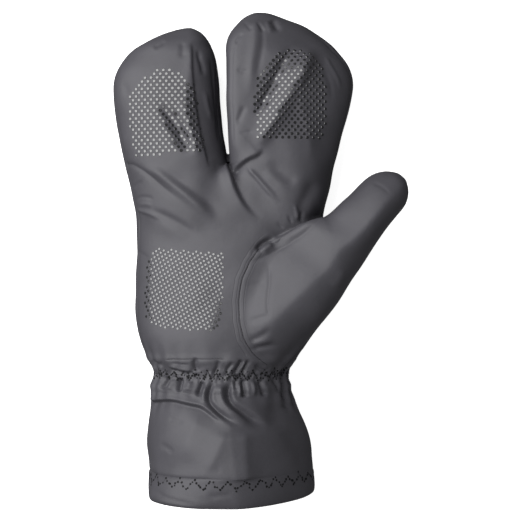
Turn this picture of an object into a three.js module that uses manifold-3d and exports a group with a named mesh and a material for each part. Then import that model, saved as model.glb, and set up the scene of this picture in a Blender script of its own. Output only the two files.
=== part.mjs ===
// A waterproof three-finger rain glove for the right hand, lying on its back with the palm up.
// Two wide stalls take two fingers each, the thumb stands off to the side, an elastic casing
// gathers the wrist, and a flared cuff ends in a folded hem. Everything is a thin hollow wall.
// Millimetres. The fingers point along +Y, the thumb along +X, the palm faces +Z, and the
// glove rests on the plane z = 0.
import * as THREE from 'three';
import { mergeVertices } from 'three/addons/utils/BufferGeometryUtils.js';
import Module from 'manifold-3d';

const wasm = await Module();
wasm.setup();

// Driving dimensions
const WALL = 2; // coated fabric with its taped seams
const HEM_WALL = 2.8; // the fabric is folded double at the hem
const GAP = 0.3; // between two sewn pieces
const FLOOR = 0; // the back of the glove is flattened here
const CASING_TOP = -55; // where the hand panels meet the elastic casing
const CASING_BOTTOM = -80;
const HEM_TOP = -123.5;
const CUFF_END = -139.5;
const HEM_DIP = 1.4; // how far the palm side of the cuff hangs past its sides
const GATHERS = 22; // pleats that the elastic draws in round the wrist
const GATHER_DEPTH = 1.5;

// Sections across the glove: y is the station along the fingers, left and right are the
// outline, top is the palm's height and bottom the back's, and lean is how far the crest
// stands towards the thumb. A bottom below the floor is pressed flat there.
const HAND = [
  { y: -70, left: -64.5, right: 17, top: 56, bottom: 2, lean: 0 },
  { y: -62, left: -65.5, right: 19, top: 55.5, bottom: 1.5, lean: 0 },
  { y: -50, left: -71, right: 23, top: 56.5, bottom: 0, lean: -1 },
  { y: -40, left: -74, right: 26, top: 56, bottom: -1, lean: -2 },
  { y: -24, left: -75.3, right: 29, top: 54, bottom: -2, lean: -3 },
  { y: 0, left: -74.8, right: 33.5, top: 51, bottom: -2, lean: -3 },
  { y: 24, left: -75, right: 38, top: 48, bottom: -2, lean: -3 },
  { y: 36, left: -76, right: 40, top: 45.5, bottom: -1.5, lean: -3 },
  { y: 46, left: -75, right: 39.5, top: 41, bottom: 0.5, lean: -3 },
  { y: 53, left: -68, right: 34, top: 34, bottom: 7, lean: -2 },
  { y: 56.5, left: -50, right: 16, top: 26, bottom: 15, lean: -1 },
];
const OUTER_STALL = [
  { y: 0, left: -58, right: -30, top: 40, bottom: 8, lean: 0 },
  { y: 14, left: -69, right: -21, top: 46, bottom: 1, lean: 0 },
  { y: 28, left: -74.5, right: -17, top: 46.8, bottom: -1.5, lean: 1 },
  { y: 42, left: -78.3, right: -17, top: 46, bottom: -1.8, lean: 3 },
  { y: 57, left: -81.5, right: -19.2, top: 45, bottom: -1.5, lean: 5 },
  { y: 70, left: -84.5, right: -21, top: 43.5, bottom: -1, lean: 6 },
  { y: 84, left: -87.2, right: -23, top: 42, bottom: 0, lean: 6 },
  { y: 103, left: -88.8, right: -24, top: 41, bottom: 1.5, lean: 6 },
  { y: 113, left: -86.8, right: -25.2, top: 40, bottom: 2.5, lean: 6 },
  { y: 122.5, left: -81, right: -27, top: 38, bottom: 4, lean: 5 },
  { y: 127.5, left: -76, right: -28.8, top: 36.5, bottom: 5.5, lean: 4 },
  { y: 132, left: -68, right: -31, top: 34, bottom: 8, lean: 3 },
  { y: 137, left: -57.5, right: -35.5, top: 29, bottom: 13, lean: 2 },
  { y: 139.5, left: -50, right: -40, top: 25, bottom: 17, lean: 1 },
];
const INNER_STALL = [
  { y: 0, left: -6, right: 18, top: 42, bottom: 8, lean: 0 },
  { y: 14, left: -14, right: 30, top: 47, bottom: 1, lean: 0 },
  { y: 28, left: -19, right: 38, top: 48, bottom: -1.5, lean: -3 },
  { y: 42, left: -19.5, right: 42.3, top: 47, bottom: -1.8, lean: -7 },
  { y: 57, left: -18, right: 45, top: 46, bottom: -1.5, lean: -10 },
  { y: 70, left: -18.6, right: 48, top: 45, bottom: -1, lean: -12 },
  { y: 84, left: -19.4, right: 52, top: 44, bottom: -0.5, lean: -12 },
  { y: 98, left: -20, right: 55.4, top: 43, bottom: 0, lean: -12 },
  { y: 108, left: -20, right: 56, top: 42.5, bottom: 1, lean: -11 },
  { y: 118, left: -20, right: 53, top: 41.5, bottom: 2, lean: -10 },
  { y: 127, left: -20.6, right: 46.8, top: 40, bottom: 3.5, lean: -8 },
  { y: 132, left: -20, right: 41.4, top: 38.5, bottom: 5, lean: -7 },
  { y: 137, left: -18.2, right: 34.6, top: 36.5, bottom: 7, lean: -5 },
  { y: 142, left: -14.8, right: 25.4, top: 33, bottom: 10, lean: -3 },
  { y: 146, left: -10.4, right: 14.5, top: 29, bottom: 14, lean: -2 },
  { y: 148.5, left: -5, right: 7, top: 25, bottom: 18, lean: -1 },
];
const CUFF = [
  { y: -139.5, left: -66.2, right: 33, top: 70, bottom: -2, lean: 0 },
  { y: -132, left: -66.4, right: 32.6, top: 70.5, bottom: -2, lean: 0 },
  { y: -120, left: -66, right: 31.4, top: 70, bottom: -1.5, lean: 0 },
  { y: -108, left: -67, right: 30, top: 68, bottom: -0.5, lean: -1 },
  { y: -96, left: -66.3, right: 26.2, top: 65, bottom: 0.5, lean: -1 },
  { y: -84, left: -65, right: 20.5, top: 60.5, bottom: 1.5, lean: -1 },
  { y: -76, left: -65.2, right: 17.2, top: 57.5, bottom: 2, lean: 0 },
  { y: -66, left: -64.5, right: 17.6, top: 56.5, bottom: 2, lean: 0 },
  { y: -55, left: -67.5, right: 21, top: 56.5, bottom: 1, lean: 0 },
];
// The thumb's sections stand across its own axis: along is the distance from the seam at its
// root, upper and lower its edges beside the axis, top and bottom its heights.
const THUMB_ROOT = new THREE.Vector2(-12.6, -30);
const THUMB_ANGLE = THREE.MathUtils.degToRad(46.2);
const THUMB = [
  { along: -15, upper: 14, lower: 33, top: 46, bottom: 24 },
  { along: -10, upper: 6, lower: 39, top: 55, bottom: 18 },
  { along: 0, upper: -4.5, lower: 42.5, top: 61.5, bottom: 13 },
  { along: 14, upper: -12.5, lower: 42.5, top: 64, bottom: 11 },
  { along: 28, upper: -17, lower: 41, top: 63.5, bottom: 11 },
  { along: 42, upper: -15.5, lower: 39.4, top: 61, bottom: 13 },
  { along: 54, upper: -10, lower: 37.1, top: 58.5, bottom: 15.5 },
  { along: 66, upper: -5, lower: 35, top: 56.5, bottom: 18 },
  { along: 77, upper: -1.2, lower: 32.4, top: 54.5, bottom: 20 },
  { along: 92, upper: -0.2, lower: 30, top: 52.5, bottom: 21.5 },
  { along: 106, upper: 0.2, lower: 28.8, top: 50.5, bottom: 22.5 },
  { along: 114, upper: 2, lower: 27.4, top: 48.5, bottom: 24 },
  { along: 120, upper: 6, lower: 23.6, top: 45, bottom: 27.5 },
  { along: 123.5, upper: 11, lower: 18.5, top: 40, bottom: 33 },
];

// Folds of the palm side: each runs between two points, and a negative lift is a valley.
const FOLDS = [
  { at: 'crotch crease', x1: -19, y1: 56, x2: -2, y2: 18, width: 4.5, lift: -5 },
  { at: 'index side crease', x1: -14, y1: 55, x2: 14, y2: 68, width: 4, lift: -3 },
  { at: 'knuckle crease', x1: 0, y1: 52, x2: 14, y2: 34, width: 4, lift: -2.5 },
  { at: 'upper palm valley', x1: -76, y1: 56, x2: -40, y2: 28, width: 5, lift: -2.5 },
  { at: 'upper palm ridge', x1: -62, y1: 52, x2: -28, y2: 12, width: 7, lift: 2 },
  { at: 'middle palm valley', x1: -50, y1: 54, x2: -20, y2: 24, width: 5, lift: -2.5 },
  { at: 'lower palm valley', x1: -70, y1: 30, x2: -34, y2: 14, width: 5, lift: -2 },
  { at: 'outer stall dent', x1: -58, y1: 98, x2: -42, y2: 66, width: 7, lift: -3.5 },
  { at: 'inner stall ridge', x1: 20, y1: 122, x2: -4, y2: 74, width: 7, lift: 3 },
  { at: 'inner stall valley', x1: 4, y1: 134, x2: -8, y2: 92, width: 5, lift: -2.5 },
  { at: 'inner stall hollow', x1: 26, y1: 100, x2: 14, y2: 70, width: 8, lift: -2.5 },
  { at: 'thumb crotch dimple', x1: -1, y1: 4, x2: 10, y2: 9, width: 5, lift: -4 },
  { at: 'thumb heel crease', x1: -4, y1: -45, x2: 14, y2: -40, width: 4, lift: -2 },
  { at: 'cuff step', x1: -66, y1: -82, x2: -36, y2: -88, width: 4, lift: -3 },
  { at: 'cuff valley', x1: -34, y1: -90, x2: 0, y2: -108, width: 4, lift: -3 },
  { at: 'cuff ridge', x1: -24, y1: -84, x2: 4, y2: -102, width: 5, lift: 2.5 },
  { at: 'cuff hollow', x1: -14, y1: -84, x2: 12, y2: -98, width: 4, lift: -2.5 },
];

// The value of one column at a station, on a smooth curve through the table's rows.
function columnAt(rows, key, column, station) {
  const last = rows.length - 1;
  let i = rows.findIndex((row) => row[key] > station) - 1;
  if (i < 0) i = station <= rows[0][key] ? 0 : last - 1;
  const slope = (a, b) => (rows[b][column] - rows[a][column]) / (rows[b][key] - rows[a][key]);
  const step = rows[i + 1][key] - rows[i][key];
  const t = THREE.MathUtils.clamp((station - rows[i][key]) / step, 0, 1);
  const start = slope(Math.max(i - 1, 0), i + 1) * step;
  const end = slope(i, Math.min(i + 2, last)) * step;
  const rise = rows[i + 1][column] - rows[i][column];
  return rows[i][column]
    + t * (start + t * (3 * rise - 2 * start - end + t * (start + end - 2 * rise)));
}

// A whole row at a station between the table's rows.
function rowAt(rows, key, station) {
  const columns = Object.keys(rows[0]).filter((column) => column !== key);
  return Object.fromEntries(
    columns.map((column) => [column, columnAt(rows, key, column, station)]));
}

// How far the folds move the palm side at a point of the plan.
function foldLift(x, y) {
  let lift = 0;
  for (const fold of FOLDS) {
    const along = new THREE.Vector2(fold.x2 - fold.x1, fold.y2 - fold.y1);
    const from = new THREE.Vector2(x - fold.x1, y - fold.y1);
    const share = THREE.MathUtils.clamp(from.dot(along) / along.lengthSq(), 0, 1);
    const distance = from.addScaledVector(along, -share).length();
    lift += fold.lift * Math.exp(-((distance / fold.width) ** 2));
  }
  return lift;
}

// One closed cross-section of count points: half ellipses above and below the widest line,
// squared off a little, flattened on the floor and lifted by the folds.
const WAIST = 0.42; // height of the widest line between bottom and top
const ROUND_HAND = 2.3; // 2 is an ellipse, more is squarer
const ROUND_THUMB = 2.1;
const ROUND_CUFF = 1.75; // the cuff's palm side is bent along the middle like a roof
const ROUND_BOTTOM = 2.9;
function section({ left, right, top, bottom, lean = 0 }, roundTop, inset, count, place) {
  const waist = bottom + WAIST * (top - bottom);
  const points = [];
  for (let i = 0; i < count; i += 1) {
    const angle = (2 * Math.PI * i) / count;
    const [c, s] = [Math.cos(angle), Math.sin(angle)];
    const power = 2 / (s >= 0 ? roundTop : ROUND_BOTTOM);
    const across = Math.sign(c) * Math.abs(c) ** power;
    const up = Math.sign(s) * Math.abs(s) ** power;
    const reach = (s >= 0 ? top - waist : waist - bottom) - inset;
    const leaned = s > 0 ? lean * (1 - across ** 2) : 0;
    const point = place((left + right) / 2 + leaned + across * ((right - left) / 2 - inset));
    point.z = waist + up * reach;
    if (s > 0) point.z += up * foldLift(point.x, point.y);
    point.z = Math.max(point.z, FLOOR + inset);
    points.push(point);
  }
  return points;
}

const acrossGlove = (y) => (x) => new THREE.Vector3(x, y, 0);
function acrossThumb(along) {
  const axis = new THREE.Vector2(Math.cos(THUMB_ANGLE), Math.sin(THUMB_ANGLE));
  return (side) => new THREE.Vector3(
    THUMB_ROOT.x + along * axis.x + side * axis.y,
    THUMB_ROOT.y + along * axis.y - side * axis.x,
    0,
  );
}

// A closed mesh over rings of equally many points. A ring of rings is a tube's wall, and
// otherwise a fan closes each end.
function skin(rings, isLoop) {
  const count = rings[0].length;
  const vertices = rings.flat();
  const faces = [];
  const spans = isLoop ? rings.length : rings.length - 1;
  for (let r = 0; r < spans; r += 1) {
    const [a, b] = [r * count, ((r + 1) % rings.length) * count];
    for (let i = 0; i < count; i += 1) {
      const j = (i + 1) % count;
      faces.push(a + i, b + j, a + j, a + i, b + i, b + j);
    }
  }
  if (!isLoop) {
    for (const [first, turn] of [[0, 1], [(rings.length - 1) * count, -1]]) {
      const ring = vertices.slice(first, first + count);
      const middle = new THREE.Vector3();
      ring.forEach((point) => middle.addScaledVector(point, 1 / count));
      vertices.push(middle);
      for (let i = 0; i < count; i += 1) {
        const [p, q] = [first + i, first + ((i + 1) % count)];
        if (turn > 0) faces.push(vertices.length - 1, p, q);
        else faces.push(vertices.length - 1, q, p);
      }
    }
  }
  const geometry = new THREE.BufferGeometry().setFromPoints(vertices);
  geometry.setIndex(faces);
  return geometry;
}

function solidOf(geometry) {
  const bare = geometry.clone();
  bare.deleteAttribute('normal');
  bare.deleteAttribute('uv');
  const merged = mergeVertices(bare, 1e-4);
  return new wasm.Manifold(new wasm.Mesh({
    numProp: 3,
    vertProperties: merged.attributes.position.array,
    triVerts: new Uint32Array(merged.index.array),
  }));
}

// A solid's mesh, with the slivers that cuts leave taken out by closing their short edges.
const SHORTEST_EDGE = 0.06;
function geometryOf(solid) {
  const { vertProperties, triVerts } = solid.getMesh();
  const count = vertProperties.length / 3;
  const points = Array.from({ length: count }, (_, i) => (
    new THREE.Vector3().fromArray(vertProperties, 3 * i)));
  const stand = points.map((_, i) => i); // the vertex that each one is closed onto
  const standFor = (i) => (stand[i] === i ? i : standFor(stand[i]));
  for (let i = 0; i < triVerts.length; i += 3) {
    for (const [from, to] of [[0, 1], [1, 2], [2, 0]]) {
      const [a, b] = [standFor(triVerts[i + from]), standFor(triVerts[i + to])];
      if (a !== b && points[a].distanceTo(points[b]) < SHORTEST_EDGE) stand[b] = a;
    }
  }
  const faces = [];
  for (let i = 0; i < triVerts.length; i += 3) {
    const [a, b, c] = [0, 1, 2].map((corner) => standFor(triVerts[i + corner]));
    if (a !== b && b !== c && c !== a) faces.push(a, b, c);
  }
  const geometry = new THREE.BufferGeometry().setFromPoints(points);
  geometry.setIndex(faces);
  geometry.computeVertexNormals();
  return geometry;
}

// The stations of a limb, closer together towards a rounded tip.
function stationsTo(from, to, count) {
  return Array.from({ length: count + 1 }, (_, i) => {
    const share = i / count;
    return from + (to - from) * (0.45 * share + 0.55 * Math.sin((share * Math.PI) / 2));
  });
}

// A limb's solid, drawn in by an inset on every side and at its far end.
function limb(rows, key, roundTop, count, stations, inset, placeAt) {
  const last = rows[rows.length - 1][key];
  const rings = stations.map((station) => {
    const row = rowAt(rows, key, station);
    const drawn = station - Math.max(0, inset) * (station - stations[0]) / (last - stations[0]);
    return section(row, roundTop, inset, count, placeAt(drawn));
  });
  return solidOf(skin(rings, false));
}

const thumbRows = THUMB.map(({ along, upper, lower, top, bottom }) => (
  { along, left: upper, right: lower, top, bottom }));
const handBody = (inset) => limb(
  HAND, 'y', ROUND_HAND, 38, stationsTo(HAND[0].y, 56.5, 17), inset, acrossGlove);
const outerStall = (inset) => limb(
  OUTER_STALL, 'y', ROUND_HAND, 24, stationsTo(0, 139.5, 16), inset, acrossGlove);
const innerStall = (inset) => limb(
  INNER_STALL, 'y', ROUND_HAND, 24, stationsTo(0, 148.5, 16), inset, acrossGlove);
const thumbLimb = (inset) => limb(
  thumbRows, 'along', ROUND_THUMB, 24, stationsTo(-15, 123.5, 14), inset, acrossThumb);

function block(x, y, z) {
  const [wide, deep, high] = [x, y, z].map(([low, top]) => top - low);
  const box = new THREE.BoxGeometry(wide, deep, high);
  box.translate((x[0] + x[1]) / 2, (y[0] + y[1]) / 2, (z[0] + z[1]) / 2);
  return solidOf(box);
}

// Everything above the side seam, whose height follows the glove's widest line.
const SIDE_SEAM = [
  { y: -200, height: 37 },
  { y: -57, height: 33 },
  { y: 0, height: 28 },
  { y: 57, height: 26 },
  { y: 110, height: 25 },
  { y: 135, height: 23 },
  { y: 200, height: 21 },
];
function aboveSeam(offset) {
  const profile = new THREE.Shape([
    ...SIDE_SEAM.map(({ y, height }) => new THREE.Vector2(y, height + offset)),
    new THREE.Vector2(200, 200),
    new THREE.Vector2(-200, 200),
  ]);
  const slab = new THREE.ExtrudeGeometry(profile, { depth: 400, bevelEnabled: false });
  // The profile's x is the glove's y, its y is height, and its depth runs across the glove.
  slab.applyMatrix4(new THREE.Matrix4().makeBasis(
    new THREE.Vector3(0, 1, 0), new THREE.Vector3(0, 0, 1), new THREE.Vector3(1, 0, 0)));
  slab.translate(-200, 0, 0);
  return solidOf(slab);
}

// Slivers that a cut leaves beside the panel are dropped.
function largestBody(solid) {
  return solid.decompose().reduce((a, b) => (a.volume() > b.volume() ? a : b));
}

// The hand, the two stalls and the thumb are cut from one hollow form
const hollow = handBody(WALL).add(outerStall(WALL)).add(innerStall(WALL));
const form = handBody(0).add(outerStall(0)).add(innerStall(0));
const belowWrist = block([-200, 200], [-200, CASING_TOP + GAP / 2], [-50, 200]);
const handShell = form.subtract(hollow).subtract(thumbLimb(-GAP)).subtract(belowWrist);
const handPalm = largestBody(handShell.intersect(aboveSeam(GAP / 2)));
const handBack = largestBody(handShell.subtract(aboveSeam(-GAP / 2)));
const thumb = largestBody(
  thumbLimb(0).subtract(thumbLimb(WALL)).subtract(hollow).subtract(belowWrist));

// The pleats that the elastic draws in, deepest at the casing and gone a hand's breadth away.
function gather(points, depth) {
  const middle = new THREE.Vector3();
  points.forEach((point) => middle.addScaledVector(point, 1 / points.length));
  return points.map((point, i) => {
    const angle = (2 * Math.PI * i) / points.length;
    const swell = 0.75 + 0.25 * Math.sin(3 * angle + 1);
    const out = point.clone().sub(middle).setComponent(1, 0).normalize();
    const moved = point.clone().addScaledVector(out, depth * swell * Math.cos(GATHERS * angle));
    moved.z = Math.max(moved.z, FLOOR);
    return moved;
  });
}

// A sleeve's wall from the upper end to the lower, with its palm side hanging by HEM_DIP.
function sleeve(upper, lower, wall, count, outside, pleat) {
  const ring = (station, inset) => {
    const row = rowAt(CUFF, 'y', station);
    const share = THREE.MathUtils.smoothstep(-station, -CASING_BOTTOM, -HEM_TOP);
    const bend = THREE.MathUtils.smoothstep(-station, -CASING_TOP, -HEM_TOP);
    const round = THREE.MathUtils.lerp(ROUND_HAND, ROUND_CUFF, bend);
    const points = section(row, round, inset, count, acrossGlove(station));
    points.forEach((point) => {
      point.y -= HEM_DIP * share * THREE.MathUtils.smoothstep(point.z, 20, 70);
    });
    return gather(points, pleat(station));
  };
  const at = (share) => upper + (lower - upper) * share;
  const outerRings = outside.shares.map((share) => ring(at(share), -outside.proud));
  const innerRings = [1, 0.5, 0].map((share) => ring(at(share), wall - outside.proud));
  const made = skin([...outerRings, ...innerRings].reverse(), true);
  return solidOf(made);
}
const even = (count) => Array.from({ length: count + 1 }, (_, i) => i / count);
const casingPleat = () => GATHER_DEPTH;
const cuffPleat = (y) => 1.3 * GATHER_DEPTH * THREE.MathUtils.smoothstep(y, -106, -84);
const noPleat = () => 0;
const wristCasing = sleeve(
  CASING_TOP - GAP / 2, CASING_BOTTOM, WALL, 4 * GATHERS, { shares: even(4), proud: 0 }, casingPleat);
const cuff = sleeve(
  CASING_BOTTOM - GAP, HEM_TOP, WALL, 4 * GATHERS, { shares: even(5), proud: 0 }, cuffPleat);
const cuffHem = sleeve(
  HEM_TOP - GAP, CUFF_END, HEM_WALL, 2 * GATHERS, { shares: even(4), proud: 0.4 }, noPleat);

// The parts, each with its own coated-fabric material
const glove = new THREE.Group();
const FABRIC = { roughness: 0.55, metalness: 0 };
function addPart(name, solid, colour) {
  const material = new THREE.MeshStandardMaterial({ color: colour, ...FABRIC });
  const mesh = new THREE.Mesh(geometryOf(solid), material);
  mesh.name = name;
  glove.add(mesh);
}
addPart('hand_palm', handPalm, 0x5c5c60);
addPart('hand_back', handBack, 0x58585c);
addPart('thumb', thumb, 0x5c5c60);
addPart('wrist_casing', wristCasing, 0x535357);
addPart('cuff', cuff, 0x5a5a5e);
addPart('cuff_hem', cuffHem, 0x5a5a5e);

// The origin is on the floor, under the middle of the glove
const middle = new THREE.Box3().setFromObject(glove).getCenter(new THREE.Vector3());
glove.position.set(-middle.x, -middle.y, 0);

export default glove;
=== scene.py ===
"""A waterproof three-finger rain glove, lying on its back with the palm up.

The skin of the whole glove is one smooth form, joined from its limbs, folded, and then cut along
its seams into the sewn pieces. Grip print and stitching go on top. Shapes are worked out in
millimetres, x across the glove, y along the fingers and z up, and moved to the frame at the end.
"""

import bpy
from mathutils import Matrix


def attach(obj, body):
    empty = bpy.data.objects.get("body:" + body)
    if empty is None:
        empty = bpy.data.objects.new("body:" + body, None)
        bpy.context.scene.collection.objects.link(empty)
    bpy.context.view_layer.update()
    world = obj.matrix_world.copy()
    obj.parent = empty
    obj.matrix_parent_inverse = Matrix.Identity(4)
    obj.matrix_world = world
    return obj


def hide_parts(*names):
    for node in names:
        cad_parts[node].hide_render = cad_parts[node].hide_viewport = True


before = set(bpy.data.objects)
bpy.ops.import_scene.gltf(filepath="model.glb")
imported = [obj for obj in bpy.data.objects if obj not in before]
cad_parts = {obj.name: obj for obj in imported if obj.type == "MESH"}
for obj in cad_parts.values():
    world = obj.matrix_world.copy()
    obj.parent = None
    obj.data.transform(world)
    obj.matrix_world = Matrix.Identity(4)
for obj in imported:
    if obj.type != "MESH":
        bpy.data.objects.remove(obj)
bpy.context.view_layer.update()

import logging
import math
from contextlib import contextmanager
from dataclasses import dataclass
from enum import Enum
from typing import Iterator, Sequence

import bmesh
import bpy
import numpy as np
from mathutils import Matrix, Vector
from mathutils.bvhtree import BVHTree

LOG = logging.getLogger("rain_glove")
MM = 0.001
PLACE = Vector((0.71, -3.8, 0.0))  # from the glove's own millimetres to the frame's
FLOOR = 0.0
FAR = 30.0  # what a seam's field says where the seam is nowhere near

Array = np.ndarray
Plan = tuple[float, float]
Span = tuple[float, float]
Colour = tuple[float, float, float, float]
Spots = list[tuple[Vector, Vector]]  # places on the skin, each with the normal there


def smoothstep(value: Array, start: float, end: float) -> Array:
    """Eases from 0 at start to 1 at end, which may be the lower of the two."""
    share = np.clip((value - start) / (end - start), 0.0, 1.0)
    return share * share * (3.0 - 2.0 * share)


def bell(value: Array, middle: float, width: float) -> Array:
    """1 at the middle, and softly less on both sides."""
    return np.exp(-(((value - middle) / width) ** 2))


def cubic(t: Array, rise: Array, start: Array, end: Array) -> Array:
    """A curve from 0 at t = 0 to rise at t = 1, with these slopes at its ends."""
    return t * (start + t * (3 * rise - 2 * start - end + t * (start + end - 2 * rise)))


def direction(turn: float, tilt: float) -> Array:
    """The unit vector that is turned from +X by one angle and tilted up by the other."""
    return np.array((math.cos(turn) * math.cos(tilt), math.sin(turn) * math.cos(tilt), math.sin(tilt)))


def above_floor(points: Array) -> Array:
    """The points, with those below the floor raised to it."""
    return np.column_stack((points[:, :2], np.maximum(points[:, 2], FLOOR)))


def listed(items: bpy.types.bpy_prop_collection, name: str, width: int = 1, kind: type = float) -> Array:
    """A property of each of a mesh's items, as one array with that many columns."""
    values = np.empty(width * len(items), kind)
    items.foreach_get(name, values)
    return values.reshape(-1, width) if width > 1 else values


@contextmanager
def edited(mesh: bpy.types.Mesh) -> Iterator[bmesh.types.BMesh]:
    """A bmesh of the mesh, which is written back to it at the end."""
    bm = bmesh.new()
    bm.from_mesh(mesh)
    yield bm
    bm.to_mesh(mesh)
    bm.free()


def finished(bm: bmesh.types.BMesh, name: str, slot: str) -> bpy.types.Object:
    """Makes a bmesh in the glove's millimetres an object at its place that rides on the body."""
    bmesh.ops.scale(bm, vec=(MM, MM, MM), verts=bm.verts)
    bmesh.ops.translate(bm, vec=PLACE * MM, verts=bm.verts)
    mesh = bpy.data.meshes.new(name)
    bm.to_mesh(mesh)
    bm.free()
    obj = bpy.data.objects.new(name, mesh)
    bpy.context.scene.collection.objects.link(obj)
    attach(obj, "root")
    LOG.info("%s: %d faces", name, len(mesh.polygons))
    return obj


# ---------------------------------------------------------------------------------------------
# Sections and limbs


@dataclass(frozen=True)
class Row:
    """One cross-section of a limb.

    Its station stands along the limb. Left and right are its outline, top and bottom its heights,
    lean is how far the crest stands to the right. Round_top is 2 for an ellipse and more for a
    squarer palm side, and round_right is the same for what lies to the right of the crest. Wall is
    the share of the height that the left side climbs at once, before its slope begins.
    """

    station: float
    left: float
    right: float
    top: float
    bottom: float
    lean: float = 0.0
    round_top: float = 2.3
    round_right: float = 1.8
    wall: float = 0.0

    @staticmethod
    def between(rows: Sequence["Row"], stations: Array) -> "Row":
        """Reads a smooth curve through the rows.

        Args:
            rows: The table, in order of station.
            stations: Where to read it.

        Returns:
            A row whose every column is an array, one value for each station.
        """
        table = np.array([list(vars(row).values()) for row in rows])
        keys = table[:, 0]
        slopes = np.empty_like(table)
        slopes[1:-1] = (table[2:] - table[:-2]) / (keys[2:] - keys[:-2])[:, None]
        slopes[0] = (table[1] - table[0]) / (keys[1] - keys[0])
        slopes[-1] = (table[-1] - table[-2]) / (keys[-1] - keys[-2])
        at = np.clip(np.searchsorted(keys, stations, side="right") - 1, 0, len(rows) - 2)
        step = (keys[at + 1] - keys[at])[:, None]
        t = np.clip((stations - keys[at])[:, None] / step, 0.0, 1.0)
        read = table[at] + cubic(t, table[at + 1] - table[at], slopes[at] * step, slopes[at + 1] * step)
        return Row(*read.T)


@dataclass(frozen=True)
class Limb:
    """A closed tube through a table of sections, standing on its own axis in the plan."""

    name: str
    rows: tuple[Row, ...]
    root: Plan = (0.0, 0.0)
    angle: float = 90.0  # of the axis, in degrees from +X
    segments: int = 96
    step: float = 2.0
    crowding: float = 0.65  # how much the stations crowd towards the ends, where a limb rounds off
    waist: float = 0.42  # height of the widest line between bottom and top
    round_bottom: float = 2.9
    wall_power: float = 8.0  # how square the corner of a wall is

    def surface(self, stations: Array, angles: Array) -> Array:
        """Points on the limb.

        Args:
            stations: One station for each point.
            angles: The angle round the section of each, from its right edge over the top.

        Returns:
            The points, in the glove's millimetres.
        """
        row = Row.between(self.rows, stations)
        waist = row.bottom + self.waist * (row.top - row.bottom)
        c, s = np.cos(angles), np.sin(angles)
        over = np.where(c < 0, row.round_top, row.round_right)
        power = 2.0 / np.where(s >= 0, over, self.round_bottom)
        across = np.sign(c) * np.abs(c) ** power
        up = np.sign(s) * np.abs(s) ** power
        climb = (1 - np.abs(across) ** self.wall_power) ** (1 / self.wall_power)
        up = np.where((c < 0) & (s > 0), up + row.wall * (climb - up), up)
        reach = np.where(s >= 0, row.top - waist, waist - row.bottom)
        side = (row.left + row.right) / 2 + across * (row.right - row.left) / 2
        side = side + np.where(s > 0, row.lean * (1 - across**2), 0.0)
        turn = math.radians(self.angle)
        x = self.root[0] + stations * math.cos(turn) + side * math.sin(turn)
        y = self.root[1] + stations * math.sin(turn) - side * math.cos(turn)
        return above_floor(np.column_stack((x, y, waist + up * reach)))

    def mesh(self) -> bpy.types.Mesh:
        """The closed limb: a grid wrapped round the sections, with both ends filled."""
        first, last = self.rows[0].station, self.rows[-1].station
        mesh = bpy.data.meshes.new(self.name)
        with edited(mesh) as bm:
            count = max(8, round((last - first) / self.step))
            bmesh.ops.create_grid(bm, x_segments=self.segments, y_segments=count, size=0.5)
            flat = np.array([v.co for v in bm.verts])
            shares = flat[:, 1] + 0.5
            eased = 0.5 - 0.5 * np.cos(np.pi * shares)
            stations = first + (last - first) * ((1 - self.crowding) * shares + self.crowding * eased)
            for vert, point in zip(bm.verts, self.surface(stations, -2 * np.pi * (flat[:, 0] + 0.5))):
                vert.co = point
            bmesh.ops.remove_doubles(bm, verts=bm.verts, dist=1e-4)
            rims = [edge for edge in bm.edges if edge.is_boundary]
            bmesh.ops.holes_fill(bm, edges=rims, sides=0)
            bmesh.ops.recalc_face_normals(bm, faces=bm.faces)
        return mesh


# Columns: station, left, right, top, bottom, lean, round_top, round_right, wall
HAND = Limb("hand", (
    Row(-70, -64.5, 17, 56, 2, 3), Row(-62, -65.5, 19, 55.5, 1.5, 4), Row(-50, -71, 23, 56.5, 0, 8),
    Row(-40, -74, 26, 56, -1, 10), Row(-24, -75.3, 29, 54, -2, 13), Row(0, -74.8, 33.5, 51.5, -2, 15),
    Row(24, -75, 38, 48, -2, 13), Row(36, -76, 40, 46.5, -1.5, 10), Row(46, -75, 39.5, 44.5, 0, 6),
    Row(53, -70, 35, 39.5, 4, 3), Row(57, -52, 18, 29, 13, 1),
))
OUTER_STALL = Limb("outer_stall", (
    Row(0, -58, -30, 40, 8, 4, 2.3, 1.8), Row(14, -69, -21, 46, 1, 8, 2.3, 1.6),
    Row(28, -74.5, -17, 47.3, -1.5, 11, 2.3, 1.5), Row(42, -78.3, -17, 47, -1.8, 13, 2.3, 1.4),
    Row(57, -81.5, -19.2, 46, -1.5, 14, 2.4, 1.35), Row(70, -84.5, -21, 44.5, -1, 14, 2.4, 1.3),
    Row(84, -87.2, -23, 43, 0, 13.5, 2.4, 1.3), Row(103, -88.8, -24, 42, 1.5, 13.5, 2.4, 1.3),
    Row(113, -86.8, -25.2, 41, 2.5, 13.5, 2.3, 1.3), Row(122.5, -81, -27, 39, 4, 12.5, 2.2, 1.35),
    Row(127.5, -76, -28.8, 37, 5.5, 10, 2.2, 1.4), Row(132, -68, -31, 34.5, 8, 8, 2.2, 1.5),
    Row(137, -57.5, -35.5, 29, 13, 4, 2.2, 1.7), Row(139.5, -50, -40, 25, 17, 2, 2.2, 1.8),
))
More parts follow.
